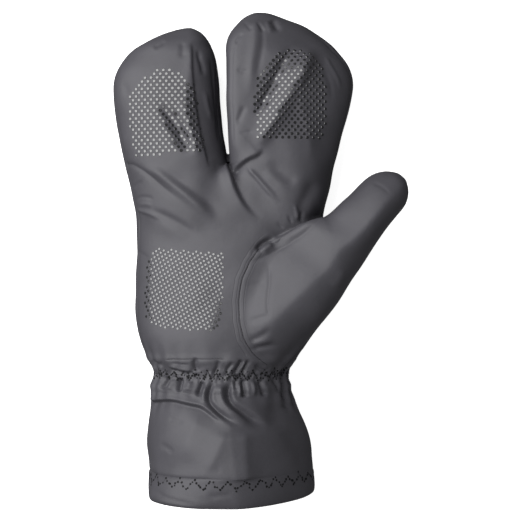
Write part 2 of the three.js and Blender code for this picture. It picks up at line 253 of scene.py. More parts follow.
INNER_STALL = Limb("inner_stall", (
    Row(0, -6, 18, 42, 8, 2), Row(14, -14, 30, 47, 1, 5), Row(28, -19, 38, 48, -1.5, 8, 2.3, 1.7),
    Row(42, -19.5, 42.3, 47.5, -1.8, 8, 2.6, 1.65, 0.2), Row(57, -18, 45, 46.5, -1.5, 4, 3.2, 1.9, 0.5),
    Row(70, -18.6, 48, 45.5, -1, -3, 4.2, 2, 0.75), Row(84, -19.4, 52, 44.5, -0.5, -5, 5, 2.15, 0.8),
    Row(98, -20, 55.4, 43.5, 0, -5, 5, 2.15, 0.8), Row(108, -20, 56, 43, 1, -6, 4.6, 2.05, 0.75),
    Row(118, -20, 53, 42, 2, -9, 3.6, 1.85, 0.6), Row(127, -20.6, 46.8, 40, 3.5, -13, 2.3, 1.55, 0.4),
    Row(132, -20, 41.4, 38.5, 5, -12, 2.3, 1.6, 0.2), Row(137, -18.2, 34.6, 36.5, 7, -9, 2.3, 1.7),
    Row(142, -14.8, 25.4, 33, 10, -4, 2.3, 1.8), Row(146, -10.4, 14.5, 29, 14, -1, 2.3, 1.9),
    Row(148.5, -5, 7, 25, 18, -1, 2.3, 2),
))
SLEEVE = Limb("sleeve", (
    Row(-147, -66, 33.2, 69.5, -2, 3, 2.7, 1.45), Row(-139.5, -66.2, 33, 70, -2, 3, 2.7, 1.45),
    Row(-132, -66.4, 32.6, 70.5, -2, 3, 2.5, 1.45), Row(-120, -66, 31.4, 70, -1.5, 2.5, 2.1, 1.4),
    Row(-108, -67, 30, 68, -0.5, 2, 2.1, 1.4), Row(-96, -66.3, 26.2, 65, 0.5, 2.5, 2.1, 1.42),
    Row(-84, -65, 20.5, 60.5, 1.5, 3.5, 2.15, 1.5), Row(-76, -65.2, 17.2, 57.5, 2, 4, 2.2, 1.6),
    Row(-66, -64.5, 17.6, 56.5, 2, 4.5, 2.27, 1.7), Row(-55, -67.5, 21, 56.5, 1, 6, 2.3, 1.8),
))
THUMB = Limb("thumb", (
    Row(-15, 14, 33, 46, 24, 0, 2.1), Row(-10, 6, 39, 53, 18, 0, 2),
    Row(0, -5.5, 42.5, 58.5, 13, 0, 1.8, 1.6), Row(14, -16, 42.5, 61.5, 11, 5.5, 1.6, 1.65),
    Row(28, -24, 41, 62, 11, 10.5, 1.5, 1.68), Row(42, -24.5, 39.4, 61.5, 13, 12, 1.4, 1.7, 0.1),
    Row(54, -14.5, 37.1, 61, 15.5, 9, 1.35, 1.7, 0.35), Row(66, -7.5, 35, 61, 18, 4, 1.35, 1.62, 0.55),
    Row(77, -1.2, 32.4, 61, 20, 3.5, 1.4, 1.6, 0.5), Row(92, -0.2, 30, 60, 22, 4, 1.5, 1.55, 0.4),
    Row(106, 0.2, 28.8, 57, 23.5, 3.5, 1.7, 1.5, 0.25), Row(114, 2, 27.4, 53.5, 25.5, 3.5, 1.9, 1.6, 0.1),
    Row(120, 6, 23.6, 49.5, 29, 2.5, 2, 1.7), Row(123.5, 11, 18.5, 44, 34, 1, 2.1, 1.9),
), root=(-12.6, -30), angle=46.2)


# ---------------------------------------------------------------------------------------------
# Folds


class Profile(Enum):
    """The shape of a fold across its line."""

    ROUND = "a soft roll or hollow"
    CREASE = "a sharp line that runs out softly on both sides"
    STEP = "cloth that laps over: raised on the left of the line, sunk on its right"


def curved(path: Sequence[Plan], step: float = 1.5) -> Array:
    """A smooth curve through the points of a path, with a point at each step or so."""
    line = np.array([path[0], *path, path[-1]], float)
    made = []
    for before, a, b, after in zip(line, line[1:], line[2:], line[3:]):
        t = np.linspace(0.0, 1.0, max(2, round(float(np.hypot(*(b - a))) / step) + 1))[:-1, None]
        made.append(a + cubic(t, b - a, (b - before) / 2, (after - a) / 2))
    return np.vstack((*made, line[-1:]))


def along_path(path: Sequence[Plan] | Array, points: Array) -> tuple[Array, Array]:
    """Where points stand beside a path in the plan.

    Args:
        path: The path's points.
        points: The points, whose x and y count.

    Returns:
        Each point's distance, positive on the left of the path, and its share of the length.
    """
    line = np.array(path, float)
    lengths = np.hypot(*np.diff(line, axis=0).T)
    before = np.concatenate(([0.0], np.cumsum(lengths)))
    best = np.full(len(points), np.inf)
    side, share = np.zeros(len(points)), np.zeros(len(points))
    for i, length in enumerate(lengths):
        way = (line[i + 1] - line[i]) / length
        x, y = points[:, 0] - line[i, 0], points[:, 1] - line[i, 1]
        run = np.clip(x * way[0] + y * way[1], 0.0, length)
        apart = np.hypot(x - run * way[0], y - run * way[1])
        closer = apart < best
        best[closer] = apart[closer]
        cross = way[0] * y - way[1] * x
        side[closer] = np.where(cross[closer] < 0, -1.0, 1.0)
        share[closer] = (before[i] + run[closer]) / before[-1]
    return best * side, share


@dataclass(frozen=True)
class Fold:
    """A fold of the palm side along a smooth path in the plan.

    Reach is the width on the path's right, if that isn't the same, and for a step it is how far
    its two sides run out. Spread is how many times as wide the fold is at the path's end.
    """

    name: str
    path: tuple[Plan, ...]
    lift: float
    width: float
    reach: float = 0.0
    spread: float = 1.0
    profile: Profile = Profile.ROUND
    fade: tuple[float, float] = (0.3, 0.3)  # shares of the length over which the ends run out
    bluntness: float = 0.35  # of a crease's line, as a share of its width
    margin: float = 5.0  # how many widths from its path the fold still counts

    def add_to(self, lift: Array, points: Array) -> None:
        """Adds how far the fold moves the cloth at each point of the plan."""
        line = curved(self.path)
        margin = self.margin * max(self.width, self.reach) * max(1.0, self.spread)
        low, high = line.min(axis=0) - margin, line.max(axis=0) + margin
        near = np.flatnonzero(((points[:, :2] > low) & (points[:, :2] < high)).all(axis=1))
        side, share = along_path(line, points[near])
        wider = 1.0 + (self.spread - 1.0) * share
        width = np.where((side < 0) & (self.reach > 0), self.reach or 1.0, self.width) * wider
        if self.profile is Profile.STEP:
            shape = np.tanh(side / (self.width * wider)) * np.exp(-np.abs(side) / (self.reach * wider))
        elif self.profile is Profile.CREASE:
            soft = self.bluntness * width
            shape = np.exp(-(np.sqrt(side * side + soft * soft) - soft) / width)
        else:
            shape = bell(side, 0.0, width)
        start, end = self.fade
        ends = smoothstep(share, -1e-6, start + 1e-6) * smoothstep(1 - share, -1e-6, end + 1e-6)
        lift[near] += self.lift * shape * ends
        LOG.debug("%s: %d points", self.name, len(near))


PALM_FOLDS = (
    Fold("crotch crease", ((-19.4, 56.3), (-18.6, 53.4), (-16.8, 49.9), (-14.6, 43.4), (-11.6, 36.9),
         (-8.4, 31.7), (-4.5, 27.2), (1.2, 22.1)), -2.3, 0.75, reach=3.6, spread=2, profile=Profile.STEP,
         fade=(0, 0.55)),
    Fold("crotch bank", ((-20.9, 56.3), (-18.9, 49.9), (-16.3, 41.8), (-13.1, 34.8)), 0.9, 3,
         fade=(0.15, 0.5)),
    Fold("crotch shadow", ((-26.7, 59.2), (-24.4, 51.1), (-22.6, 43), (-21.5, 36)), -0.3, 2.6, spread=1.6,
         fade=(0.1, 0.5)),
    Fold("index fold", ((-16.3, 52.5), (-14.2, 53.8), (-11, 56.3), (-7.1, 58.9), (-2.6, 60.9), (0, 62.8),
         (2.3, 66.2)), 1.7, 0.6, reach=3.4, spread=1.6, profile=Profile.STEP, fade=(0.05, 0.3)),
    Fold("knuckle ridge", ((-8.1, 55.7), (-5.8, 52.5), (-1.2, 47.6), (3.2, 42.4), (7, 38.3), (11.6, 32.5)),
         1.25, 1.25, spread=1.5, fade=(0.2, 0.4)),
    Fold("index hollow", ((3.5, 58.1), (9.9, 53.4), (16.3, 48.2), (23.2, 44.1)), -0.9, 3.4, spread=1.2,
         fade=(0.35, 0.3)),
    Fold("index hollow bank", ((1.2, 53.4), (7, 48.2), (13.9, 42.4), (19.7, 38.3)), 0.7, 3.6,
         fade=(0.35, 0.4)),
    Fold("upper line", ((-80.1, 57.2), (-77.2, 56.8), (-74.5, 55.7), (-70, 53.1), (-65.4, 49.9),
         (-60.9, 46), (-56.4, 42.1), (-51.1, 38.2), (-46, 34.3), (-40.6, 30.2)), -1, 0.75, spread=2.2,
         profile=Profile.CREASE, fade=(0, 0.6)),
    Fold("upper ridge", ((-70.8, 56.9), (-65, 53.4), (-60.4, 51.4), (-53.1, 45.9), (-45.6, 40.6),
         (-39.2, 35.4), (-33.7, 30.2), (-29, 23.8), (-25.5, 16.3)), 1.7, 2.5, reach=2.4, spread=1.7,
         fade=(0.25, 0.35)),
    Fold("upper valley", ((-59.2, 53.4), (-52.2, 49.3), (-45.3, 44.1), (-38.3, 38.9), (-31.9, 34.2),
         (-26.7, 28.4), (-22.6, 22.1)), -1.1, 2.8, spread=1.5, fade=(0.35, 0.35)),
    Fold("lower valley", ((-66.2, 29.6), (-59.2, 27), (-53.4, 24.1), (-46.4, 20.3), (-40.6, 16.3),
         (-34.8, 11)), -1.15, 2.1, reach=2.6, spread=1.6, fade=(0.3, 0.4)),
    Fold("lower line", ((-73.7, 30.8), (-71.2, 29.3), (-66.2, 27.7), (-61, 25.5), (-55.1, 22.3)), 0.8, 0.9,
         spread=1.8, fade=(0.1, 0.5)),
    Fold("side pucker 1", ((-74.9, 35.4), (-70.8, 37.2), (-66.2, 36.9), (-62.1, 35.4)), -0.45, 1),
    Fold("side pucker 2", ((-73.1, 32.8), (-68.5, 33.1), (-63.3, 31.9)), 0.45, 1.1),
    Fold("side pucker 3", ((-75.8, 43), (-72.6, 45.3), (-69.1, 46.4)), -0.4, 1.1),
    Fold("edge fold", ((-74.9, 5.2), (-71.4, 4.4), (-67.9, 2.3), (-63.9, 0)), -0.55, 0.8, reach=1.4,
         profile=Profile.CREASE, fade=(0, 0.6)),
    Fold("thumb dimple", ((-2.3, 4.9), (-0.3, 7.5), (2, 9.8), (5.2, 11.5), (9.2, 12.9)), -2.4, 1.5,
         reach=1.3, fade=(0.2, 0.35)),
    Fold("thumb dimple lobe", ((1.1, 4.6), (4.6, 7.5), (8, 9.5)), 1.3, 1.9),
    Fold("thumb dimple line 1", ((-5.5, 2.3), (-3.4, 5.8), (-0.6, 8.9), (2.9, 11.5)), -0.5, 0.7,
         profile=Profile.CREASE),
    Fold("thumb upper line", ((-9.2, -3.4), (-4.6, -1.4), (0.8, 1.4), (5.8, 3.4), (10.3, 5.8), (16.1, 8.7),
         (20.1, 11.5), (24.5, 14.3), (28.7, 17.8), (32.8, 21.3), (37.9, 25), (42.5, 28.7)), -0.75, 0.7,
         reach=0.9, spread=1.6, profile=Profile.CREASE, fade=(0.25, 0.35)),
    Fold("thumb upper roll", ((11.5, 9.8), (18.4, 13.5), (25.3, 17.8), (32.2, 23)), 0.45, 1.2),
    Fold("thumb joint line", ((64.4, 45.1), (69, 43.4), (73, 40.2), (75.3, 36.8)), -0.25, 1),
    Fold("thumb side bulge", ((48.3, -4.6), (46, -11.5), (41.4, -17.2)), 0.5, 2.6),
    Fold("tape inner line", ((4.6, -1.2), (5.3, -7), (5.3, -13.9), (4.4, -20.9), (4.4, -27.9),
         (5.5, -34.8)), -0.6, 0.7, profile=Profile.CREASE, fade=(0.25, 0.2)),
    Fold("tape top line", ((-8.1, -14.5), (-2.3, -13.9), (3.5, -13.4)), -0.16, 0.8, profile=Profile.CREASE),
    Fold("heel crease 1", ((-7, -35.4), (-2.3, -34.2), (1.7, -32.8), (6.4, -31.6)), -0.5, 1.6, reach=1.9),
    Fold("heel crease 2", ((-7.5, -46.4), (-2.3, -45.3), (2.3, -42.4), (7, -39.2)), -0.75, 1.8, reach=2.1),
    Fold("heel crease 3", ((-7, -51.7), (-2.3, -51.1), (3.5, -49.9), (11, -48.8)), -0.9, 1.7, reach=1.5,
         fade=(0.3, 0.4)),
    Fold("heel crease 3 bank", ((-5.8, -48.5), (1.2, -47), (8.1, -45)), 0.4, 1.6),
    Fold("thumb edge", ((39, 27), (28, 22), (20, 18), (12, 13.8), (5.5, 11)), 2, 0.8, reach=3.5,
         profile=Profile.STEP, fade=(0.12, 0.2)),
    Fold("thumb crotch ridge", ((19.6, 33), (21.4, 29.4), (21.9, 25.6), (21.2, 22.4)), 0.8, 1.2,
         fade=(0.35, 0.3)),
    Fold("thumb crotch line 1", ((16.1, 27), (17.6, 23.8), (19, 20.6)), -0.8, 0.9, fade=(0.5, 0.35)),
    Fold("thumb crotch line 2", ((9.3, 22.6), (11.8, 20.1), (14.4, 18)), -0.5, 1, fade=(0.5, 0.4)),
    Fold("thumb crotch line 3", ((25, 29.4), (24.6, 25.6), (23.4, 22)), -1.1, 1.3, fade=(0.4, 0.35)),
    Fold("hand side hollow", ((33.1, 48.8), (29.6, 40.6), (25.5, 32.5), (24.4, 24.4)), -1.6, 4.2,
         fade=(0.3, 0.25)),
)
STALL_FOLDS = (
    Fold("outer edge", ((-29.9, 52.8), (-31.7, 61.6), (-34.3, 71.6), (-36.9, 86.2), (-38.7, 99.7),
         (-39.7, 111.4), (-40.1, 123.2), (-40.8, 130.2)), 0.95, 0.7, reach=3, profile=Profile.STEP,
         fade=(0.12, 0.1)),
    Fold("outer wall line 1", ((-36.7, 126.1), (-35.5, 119.6), (-34, 113.8), (-33.4, 107.9)), -1.2, 1.4),
    Fold("outer wall line 2", ((-29.9, 123.2), (-28.2, 110.3), (-26.7, 93.8), (-25.2, 77.4), (-24, 66.9)),
         -0.9, 0.8, profile=Profile.CREASE, fade=(0.2, 0.2)),
    Fold("outer wall line 3", ((-32.8, 100.9), (-31.1, 91.5), (-28.7, 82.1)), 0.7, 1.3),
    Fold("outer dent", ((-60.8, 96), (-56, 88.5), (-51, 81.5), (-46.8, 74), (-42.6, 66.8), (-39, 61)), -2.4,
         3.2, reach=3.4, spread=1.2, fade=(0.45, 0.3)),
    Fold("outer dent bank", ((-47, 98), (-44.5, 90), (-42.3, 82), (-40.6, 74), (-38.2, 66), (-35.6, 59.8)),
         1.2, 3.6, reach=3),
    Fold("outer top 1", ((-46.3, 130.2), (-45.7, 124.3), (-46.3, 118.5)), -0.5, 1.7),
    Fold("outer top 2", ((-63.3, 125.5), (-59.8, 128.2), (-55.7, 130.2)), -0.5, 1.5),
    Fold("outer side 1", ((-82.7, 105.6), (-79.8, 102.1), (-78.6, 96.2)), -0.35, 2),
    Fold("inner tip ridge", ((-3.9, 143.7), (-2.4, 137.2), (-2.1, 130.2), (-3.3, 122), (-4.5, 113.8),
         (-5.6, 104.4), (-7.4, 93.8)), 1, 3.6, reach=4, spread=0.8, fade=(0.1, 0.4)),
    Fold("inner tip hollow", ((0.2, 140.8), (1, 133.7), (1.1, 125.5), (-0.9, 114.9), (-3.3, 103.2)), -0.6,
         1.8, reach=3.4, fade=(0.2, 0.4)),
    Fold("inner edge line", ((-14.8, 131), (-16.2, 120), (-16.6, 105), (-16.4, 90), (-15.8, 76),
         (-14.6, 64)), -0.4, 0.6, profile=Profile.CREASE, fade=(0.15, 0.2)),
    Fold("inner facet left", ((-10, 134.3), (-12.9, 131.4), (-14.7, 127.3)), -0.5, 1),
    Fold("inner facet low", ((-14.1, 112.6), (-10, 110.8), (-6.5, 111.4)), -0.4, 1.2),
    Fold("inner tip pleat 1", ((-10, 142.5), (-7.6, 139), (-4.7, 134.9)), -0.5, 0.8),
    Fold("inner tip pleat 2", ((-1.8, 141.3), (0.3, 137.8), (2.3, 134.3)), -0.8, 1),
    Fold("inner tip pleat 3", ((7, 143.7), (9.4, 139), (11.7, 134.3)), -1.3, 1.9, fade=(0.2, 0.4)),
    Fold("inner tip roll", ((3.5, 142.5), (5.3, 137.8), (7, 133.7)), 0.5, 1.4),
    Fold("inner valley", ((21, 128), (16.8, 121.5), (12.6, 114.5), (8.4, 106.1), (4.4, 97.7), (0.8, 90.5),
         (-3.5, 83.5)), -2.2, 3, spread=0.8, fade=(0.3, 0.25)),
    Fold("inner ridge", ((31.5, 128.5), (28.8, 120), (25.4, 112), (21.4, 104.4), (16.4, 95.6), (11.2, 86.8),
         (6.2, 78.6), (1.5, 71), (-2.5, 64.5)), 2.6, 4.6, reach=6.5, spread=0.8, fade=(0.2, 0.15)),
    Fold("inner low shadow", ((-8.8, 91.5), (-11.1, 85.6), (-14.1, 78.6)), -0.7, 1.6),
    Fold("inner cross line", ((-12.9, 73.9), (-8.2, 74.8), (-3.5, 75.7)), -0.3, 0.8),
    Fold("inner streak", ((38.1, 122), (41.1, 116.1), (45.2, 109.1), (48.7, 100.9)), 0.5, 1.2,
         fade=(0.25, 0.3)),
    Fold("inner streak hollow", ((35.2, 119.6), (38.7, 111.4), (41.6, 103.2), (42.8, 93.8)), -0.4, 1.6),
    Fold("inner shoulder", ((30.5, 127.8), (26.4, 117.3), (25.2, 108.5), (23.5, 99.7), (23.8, 90.9),
         (26.6, 82.1), (28, 73.3), (29.6, 64.5), (27, 55.7)), 1.5, 7, reach=3.5, profile=Profile.CREASE,
         fade=(0.2, 0.2)),
)
CUFF_FOLDS = (
    Fold("cuff step", ((-65.5, -84.2), (-62, -83.3), (-56.8, -82.2), (-50.4, -81.8), (-41.1, -83.3),
         (-34.7, -84.4), (-30.3, -86.8), (-25.1, -90.6), (-18.3, -94.2)), 2.5, 0.8, reach=3,
         profile=Profile.STEP, fade=(0.05, 0.35)),
    Fold("cuff valley", ((-26.8, -69.7), (-28.1, -73.1), (-29.4, -77.7), (-28.8, -81.9), (-25.4, -85.7),
         (-21.7, -88.5), (-17.3, -91.3), (-9.7, -95.6)), -2.5, 1.4, reach=1.5, spread=1.1,
         fade=(0.12, 0.4)),
    Fold("cuff ridge", ((-22.3, -70.8), (-22.3, -77.7), (-20.3, -82.5), (-16.6, -85.9), (-12, -89.1),
         (-5.7, -93.6)), 1.5, 2, fade=(0.15, 0.4)),
    Fold("cuff hollow", ((-16.8, -70.2), (-17.8, -74.8), (-17.7, -78.2), (-15.6, -82.3), (-12, -85.1),
         (-7.9, -87.9), (-1.7, -92.3), (5, -96.5)), -3, 1.2, reach=2.4, spread=1.6, fade=(0.12, 0.3)),
    Fold("cuff left ridge", ((-30.8, -71.9), (-32.5, -78.8), (-31.4, -82.8)), 0.9, 1.5),
    Fold("cuff facet 1", ((-34.1, -87.8), (-37.1, -94.2), (-39.6, -100.5), (-42.3, -108.5),
         (-44.9, -116.7)), 1, 5, reach=6, profile=Profile.CREASE, fade=(0.25, 0.4)),
    Fold("cuff facet 2", ((-18.7, -95.9), (-20.6, -101.1), (-22.7, -105.9), (-28.1, -116.7), (-33, -123.5),
         (-37, -129.5)), 1.1, 4, reach=7, profile=Profile.CREASE, fade=(0.2, 0.4)),
    Fold("cuff dent 1", ((-58.8, -106.8), (-53.7, -108.5), (-49.1, -111.3)), -0.45, 1.7),
    Fold("cuff dent 2", ((-53.7, -92.2), (-48.5, -92.8), (-43.4, -94.2)), -0.35, 1.4),
    Fold("cuff dent 3", ((-33, -121), (-27, -119.4), (-20.6, -119.2)), -0.25, 3),
    Fold("cuff bend", ((-9.4, -97.1), (-8.9, -107.3), (-8.3, -116.5), (-7.7, -125.6)), 1.9, 5, reach=6,
         profile=Profile.CREASE, fade=(0.2, 0.05)),
    Fold("cuff side line", ((12.6, -83.9), (17.7, -85.9), (22.8, -85.6)), -0.5, 1.3),
    Fold("cuff side hollow", ((10.3, -80.8), (9.1, -90.4), (7.6, -101)), -2.2, 8, fade=(0.35, 0.35)),
    Fold("hem roll", ((-61.7, -133.6), (-53.7, -136.5), (-43.4, -138.2), (-32, -139.9)), -0.5, 1.5,
         fade=(0.2, 0.4)),
    Fold("hem dent", ((-30.8, -133), (-26.3, -134.2), (-20.6, -133.3), (-14.8, -133.6)), -0.4, 1.8),
    Fold("hem left dent", ((-62.8, -121.1), (-61.7, -125.6), (-60, -130.2)), -0.4, 1.6),
    Fold("hem swell", ((-66, -138.5), (-50, -139.5), (-34, -140.5), (-20, -141.5)), 1, 4, fade=(0, 0.4)),
)
PLEATS = (
    Fold("lower pleat 1", ((-54.2, -67.9), (-54.8, -70.2), (-56, -73.4), (-57.4, -76.4)), -2.5, 1.35,
         fade=(0.25, 0.3)),
    Fold("lower pleat 2", ((-47.3, -68.1), (-47, -71), (-47, -73.9), (-46.7, -77)), -3.1, 1.45,
         fade=(0.25, 0.2)),
    Fold("lower pleat 2 foot", ((-46.7, -76.5), (-42.7, -77.3), (-38.1, -78.8)), -0.4, 1.2),
    Fold("lower pleat 3", ((-32.9, -69.8), (-33.8, -72.2), (-34.9, -75.6), (-36.6, -79)), -2.8, 1.45,
         fade=(0.25, 0.3)),
    Fold("lower pleat 4", ((-13.8, -69.2), (-14.1, -72.7), (-13.8, -75.6)), -0.9, 1.1),
    Fold("lower pleat 5", ((-9.2, -68.7), (-9.3, -72.1), (-9.1, -75.6), (-8.4, -80.2)), -2.3, 1.5,
         fade=(0.2, 0.25)),
    Fold("lower roll 5a", ((-11.5, -70.4), (-11.8, -75), (-11.3, -79.6)), 1.1, 1),
    Fold("lower roll 5b", ((-4, -69.2), (-3.7, -74.4), (-3.5, -79.6)), 1.1, 1.3),
    Fold("lower pleat 6", ((0, -69.2), (0.7, -72.7), (1.7, -76.2), (3.5, -80.2)), -2, 1.6, fade=(0.2, 0.3)),
    Fold("lower pleat 7", ((8.7, -68.1), (9.8, -73.3), (11.5, -78.5)), -1.3, 1.2),
    Fold("lower pleat 8", ((14.4, -69.2), (13.8, -75), (14.4, -83.1)), -1, 1.1),
    Fold("lower roll 1", ((-51.4, -68.7), (-51.9, -72.7), (-52.5, -76.2)), 0.7, 1.5),
    Fold("lower roll 2", ((-40.4, -69.8), (-41, -73.3), (-41.5, -76.2)), 0.8, 2),
    Fold("upper pleat 1", ((-37.2, -56), (-37.8, -58.9), (-37.6, -61.7), (-36.4, -65.2)), -1.7, 1.6,
         reach=1.3),
    Fold("upper pleat 2", ((-23.7, -57.1), (-24.2, -60), (-25.1, -62.9), (-27.1, -66.4)), -1.1, 1.3),
    Fold("upper pleat 3", ((-15.6, -58.3), (-16.7, -60.6), (-18.5, -62.9), (-19.6, -65.8)), -1.1, 1.2),
    Fold("upper pleat 4", ((-10.4, -57.1), (-11.5, -60), (-13, -62.9), (-15, -66.9)), -1.6, 1.25,
         fade=(0.2, 0.3)),
    Fold("upper pleat 5", ((-6.3, -57.1), (-7.5, -60), (-8.7, -62.9), (-9.8, -66.4)), -1.5, 1.2),
    Fold("upper pleat 6", ((-2.9, -60), (-1.2, -62.3), (1.2, -64), (4.6, -64.6)), -0.9, 1.1),
    Fold("upper roll 4", ((-8.4, -58.3), (-9.5, -61.2), (-11, -64)), 0.6, 0.8),
    Fold("upper dent left", ((-64, -58.9), (-60, -61.2), (-56, -61.2)), -0.7, 1.4),
    Fold("casing overlap", ((-54, -62.2), (-51, -63.4), (-46.5, -64.4), (-42, -64.8), (-38.5, -64.6)), 1.5,
         0.6, reach=2, profile=Profile.STEP, fade=(0.25, 0.2)),
    Fold("casing overlap line", ((-52.5, -60), (-46, -60.5), (-39.5, -60.6)), -0.3, 0.5,
         profile=Profile.CREASE),
)


# ---------------------------------------------------------------------------------------------
# The skin


class Seam(Enum):
    """The lines along which the skin is cut, in that order. Each is the zero line of a field of its name."""

    CUFF_END = "cuff_end"
    HEM = "hem"
    CASING_BOTTOM = "casing_bottom"
    CASING_TOP = "casing_top"
    THUMB = "thumb"
    SIDE = "side"

    def runs(self, y: Array) -> Array:
        """Whether the seam may run at these places along the glove."""
        low, high = SEAM_SPANS[self]
        return (y > low) & (y < high)


SEAM_SPANS = {
    Seam.CUFF_END: (-200.0, -120.0), Seam.HEM: (-200.0, -100.0), Seam.CASING_BOTTOM: (-200.0, -60.0),
    Seam.CASING_TOP: (-200.0, -40.0), Seam.THUMB: (-64.0, 200.0), Seam.SIDE: (-64.0, 200.0),
}


class Skin:
    """A mesh in millimetres with named values on its vertices."""

    CUT_REACH = 4.0  # how near a face is to a seam that may cut it
    SNAP = 0.05  # how near a vertex is to a seam that then runs through it
    GIVE_BACK = 0.53  # of a round of evening, by the round that gives the volume back

    def __init__(self, mesh: bpy.types.Mesh) -> None:
        """Keeps the mesh and reads its edges."""
        self.mesh = mesh
        self.count()

    def count(self) -> None:
        """Reads the edges again, after the mesh has changed."""
        self.size = len(self.mesh.vertices)
        self.ends = listed(self.mesh.edges, "vertices", 2, np.int32)
        self.degree = np.bincount(self.ends.ravel(), minlength=self.size).astype(float)

    @property
    def points(self) -> Array:
        """The vertices' places."""
        return listed(self.mesh.vertices, "co", 3)

    @points.setter
    def points(self, values: Array) -> None:
        """Moves the vertices."""
        self.mesh.vertices.foreach_set("co", np.ascontiguousarray(values, float).ravel())
        self.mesh.update()

    def even_normals(self, rounds: int) -> Array:
        """The vertices' normals, averaged until they don't follow the small bumps."""
        normals = listed(self.mesh.vertices, "normal", 3)
        for _ in range(rounds):
            normals = 0.5 * (normals + self.mean_of_neighbours(normals))
        return normals / np.linalg.norm(normals, axis=1)[:, None]

    def read(self, name: str) -> Array:
        """The values of that name, one or three for each vertex."""
        data = self.mesh.attributes[name]
        if data.data_type == "FLOAT_VECTOR":
            return listed(data.data, "vector", 3, np.float32).astype(float)
        return listed(data.data, "value", 1, np.float32).astype(float)

    def write(self, name: str, values: Array) -> None:
        """Stores values by name, and makes the name if it is new."""
        kind, part = ("FLOAT_VECTOR", "vector") if values.ndim == 2 else ("FLOAT", "value")
        data = self.mesh.attributes.get(name) or self.mesh.attributes.new(name, kind, "POINT")
        data.data.foreach_set(part, np.ascontiguousarray(values, np.float32).ravel())

    def mean_of_neighbours(self, values: Array) -> Array:
        """For each vertex, the mean of its neighbours' values."""
        a, b = self.ends.T
        total = np.stack([
            np.bincount(a, column[b], self.size) + np.bincount(b, column[a], self.size)
            for column in values.T], axis=1)
        return total / self.degree[:, None]

    def relax(self, weight: Array, rounds: int, shrink: bool = True) -> None:
        """Evens the surface out.

        Args:
            weight: How far each vertex follows its neighbours, 0 to 1.
            rounds: How many times.
            shrink: If not, each round is followed by one that gives the volume back.
        """
        points, share = self.points, weight[:, None]
        for _ in range(rounds):
            points = points + 0.5 * share * (self.mean_of_neighbours(points) - points)
            if not shrink:
                points = points - self.GIVE_BACK * share * (self.mean_of_neighbours(points) - points)
        self.points = points

    def even(self, rounds: int, weight: float = 1.0) -> None:
        """Evens the whole surface out, and keeps its volume."""
        self.relax(np.full(self.size, weight), rounds, shrink=False)

    def refine(self, span: Span, lowest: float) -> None:
        """Halves the faces over a span of the glove's length, above a height."""
        with edited(self.mesh) as bm:
            middles = np.array([face.calc_center_median() for face in bm.faces])
            y, z = middles[:, 1], middles[:, 2]
            picked = (y > span[0]) & (y < span[1]) & (z > lowest)
            edges = {edge for face, mine in zip(bm.faces, picked) if mine for edge in face.edges}
            bmesh.ops.subdivide_edges(bm, edges=list(edges), cuts=1, use_grid_fill=True)
        self.count()

    def cut(self, seam: Seam) -> None:
        """Splits the faces that a seam crosses.

        The mesh is laid out with the seam's field as its x, so that a plane cuts it there.

        Args:
            seam: The seam, whose field is stored by its name.
        """
        points = self.points
        self.write("shape", points)
        far = self.read(seam.value)
        with edited(self.mesh) as bm:
            middles = np.array([face.calc_center_median() for face in bm.faces])
            apart = np.array([min(abs(far[v.index]) for v in face.verts) for face in bm.faces])
            picked = (apart < self.CUT_REACH) & seam.runs(middles[:, 1])
            faces = [face for face, mine in zip(bm.faces, picked) if mine]
            laid = np.column_stack((far, points[:, :2]))
            for vert in bm.verts:
                vert.co = laid[vert.index]
            edges = {edge for face in faces for edge in face.edges}
            verts = {vert for face in faces for vert in face.verts}
            bmesh.ops.bisect_plane(
                bm, geom=[*verts, *edges, *faces], dist=self.SNAP, plane_co=(0, 0, 0), plane_no=(1, 0, 0))
        self.count()
        self.points = self.read("shape")

    def tree(self) -> BVHTree:
        """A search tree over the faces."""
        bm = bmesh.new()
        bm.from_mesh(self.mesh)
        made = BVHTree.FromBMesh(bm)
        bm.free()
        return made


def joined(meshes: Sequence[bpy.types.Mesh]) -> bpy.types.Mesh:
    """One mesh that holds all of these."""
    whole = bpy.data.meshes.new("joined")
    with edited(whole) as bm:
        for mesh in meshes:
            bm.from_mesh(mesh)
    return whole


def remeshed(mesh: bpy.types.Mesh, voxel: float) -> bpy.types.Mesh:
    """The union of a mesh's closed bodies, with even quads."""
    obj = bpy.data.objects.new("remesh", mesh)
    bpy.context.scene.collection.objects.link(obj)
    even = obj.modifiers.new("even", "REMESH")
    even.mode = "VOXEL"
    even.voxel_size = voxel
    even.use_smooth_shade = True
    made = bpy.data.meshes.new_from_object(obj.evaluated_get(bpy.context.evaluated_depsgraph_get()))
    bpy.data.objects.remove(obj)
    return made


@dataclass(frozen=True)
class Roll:
    """A soft roll or hollow all the way round the wrist."""

    middle: float
    width: float
    height: float


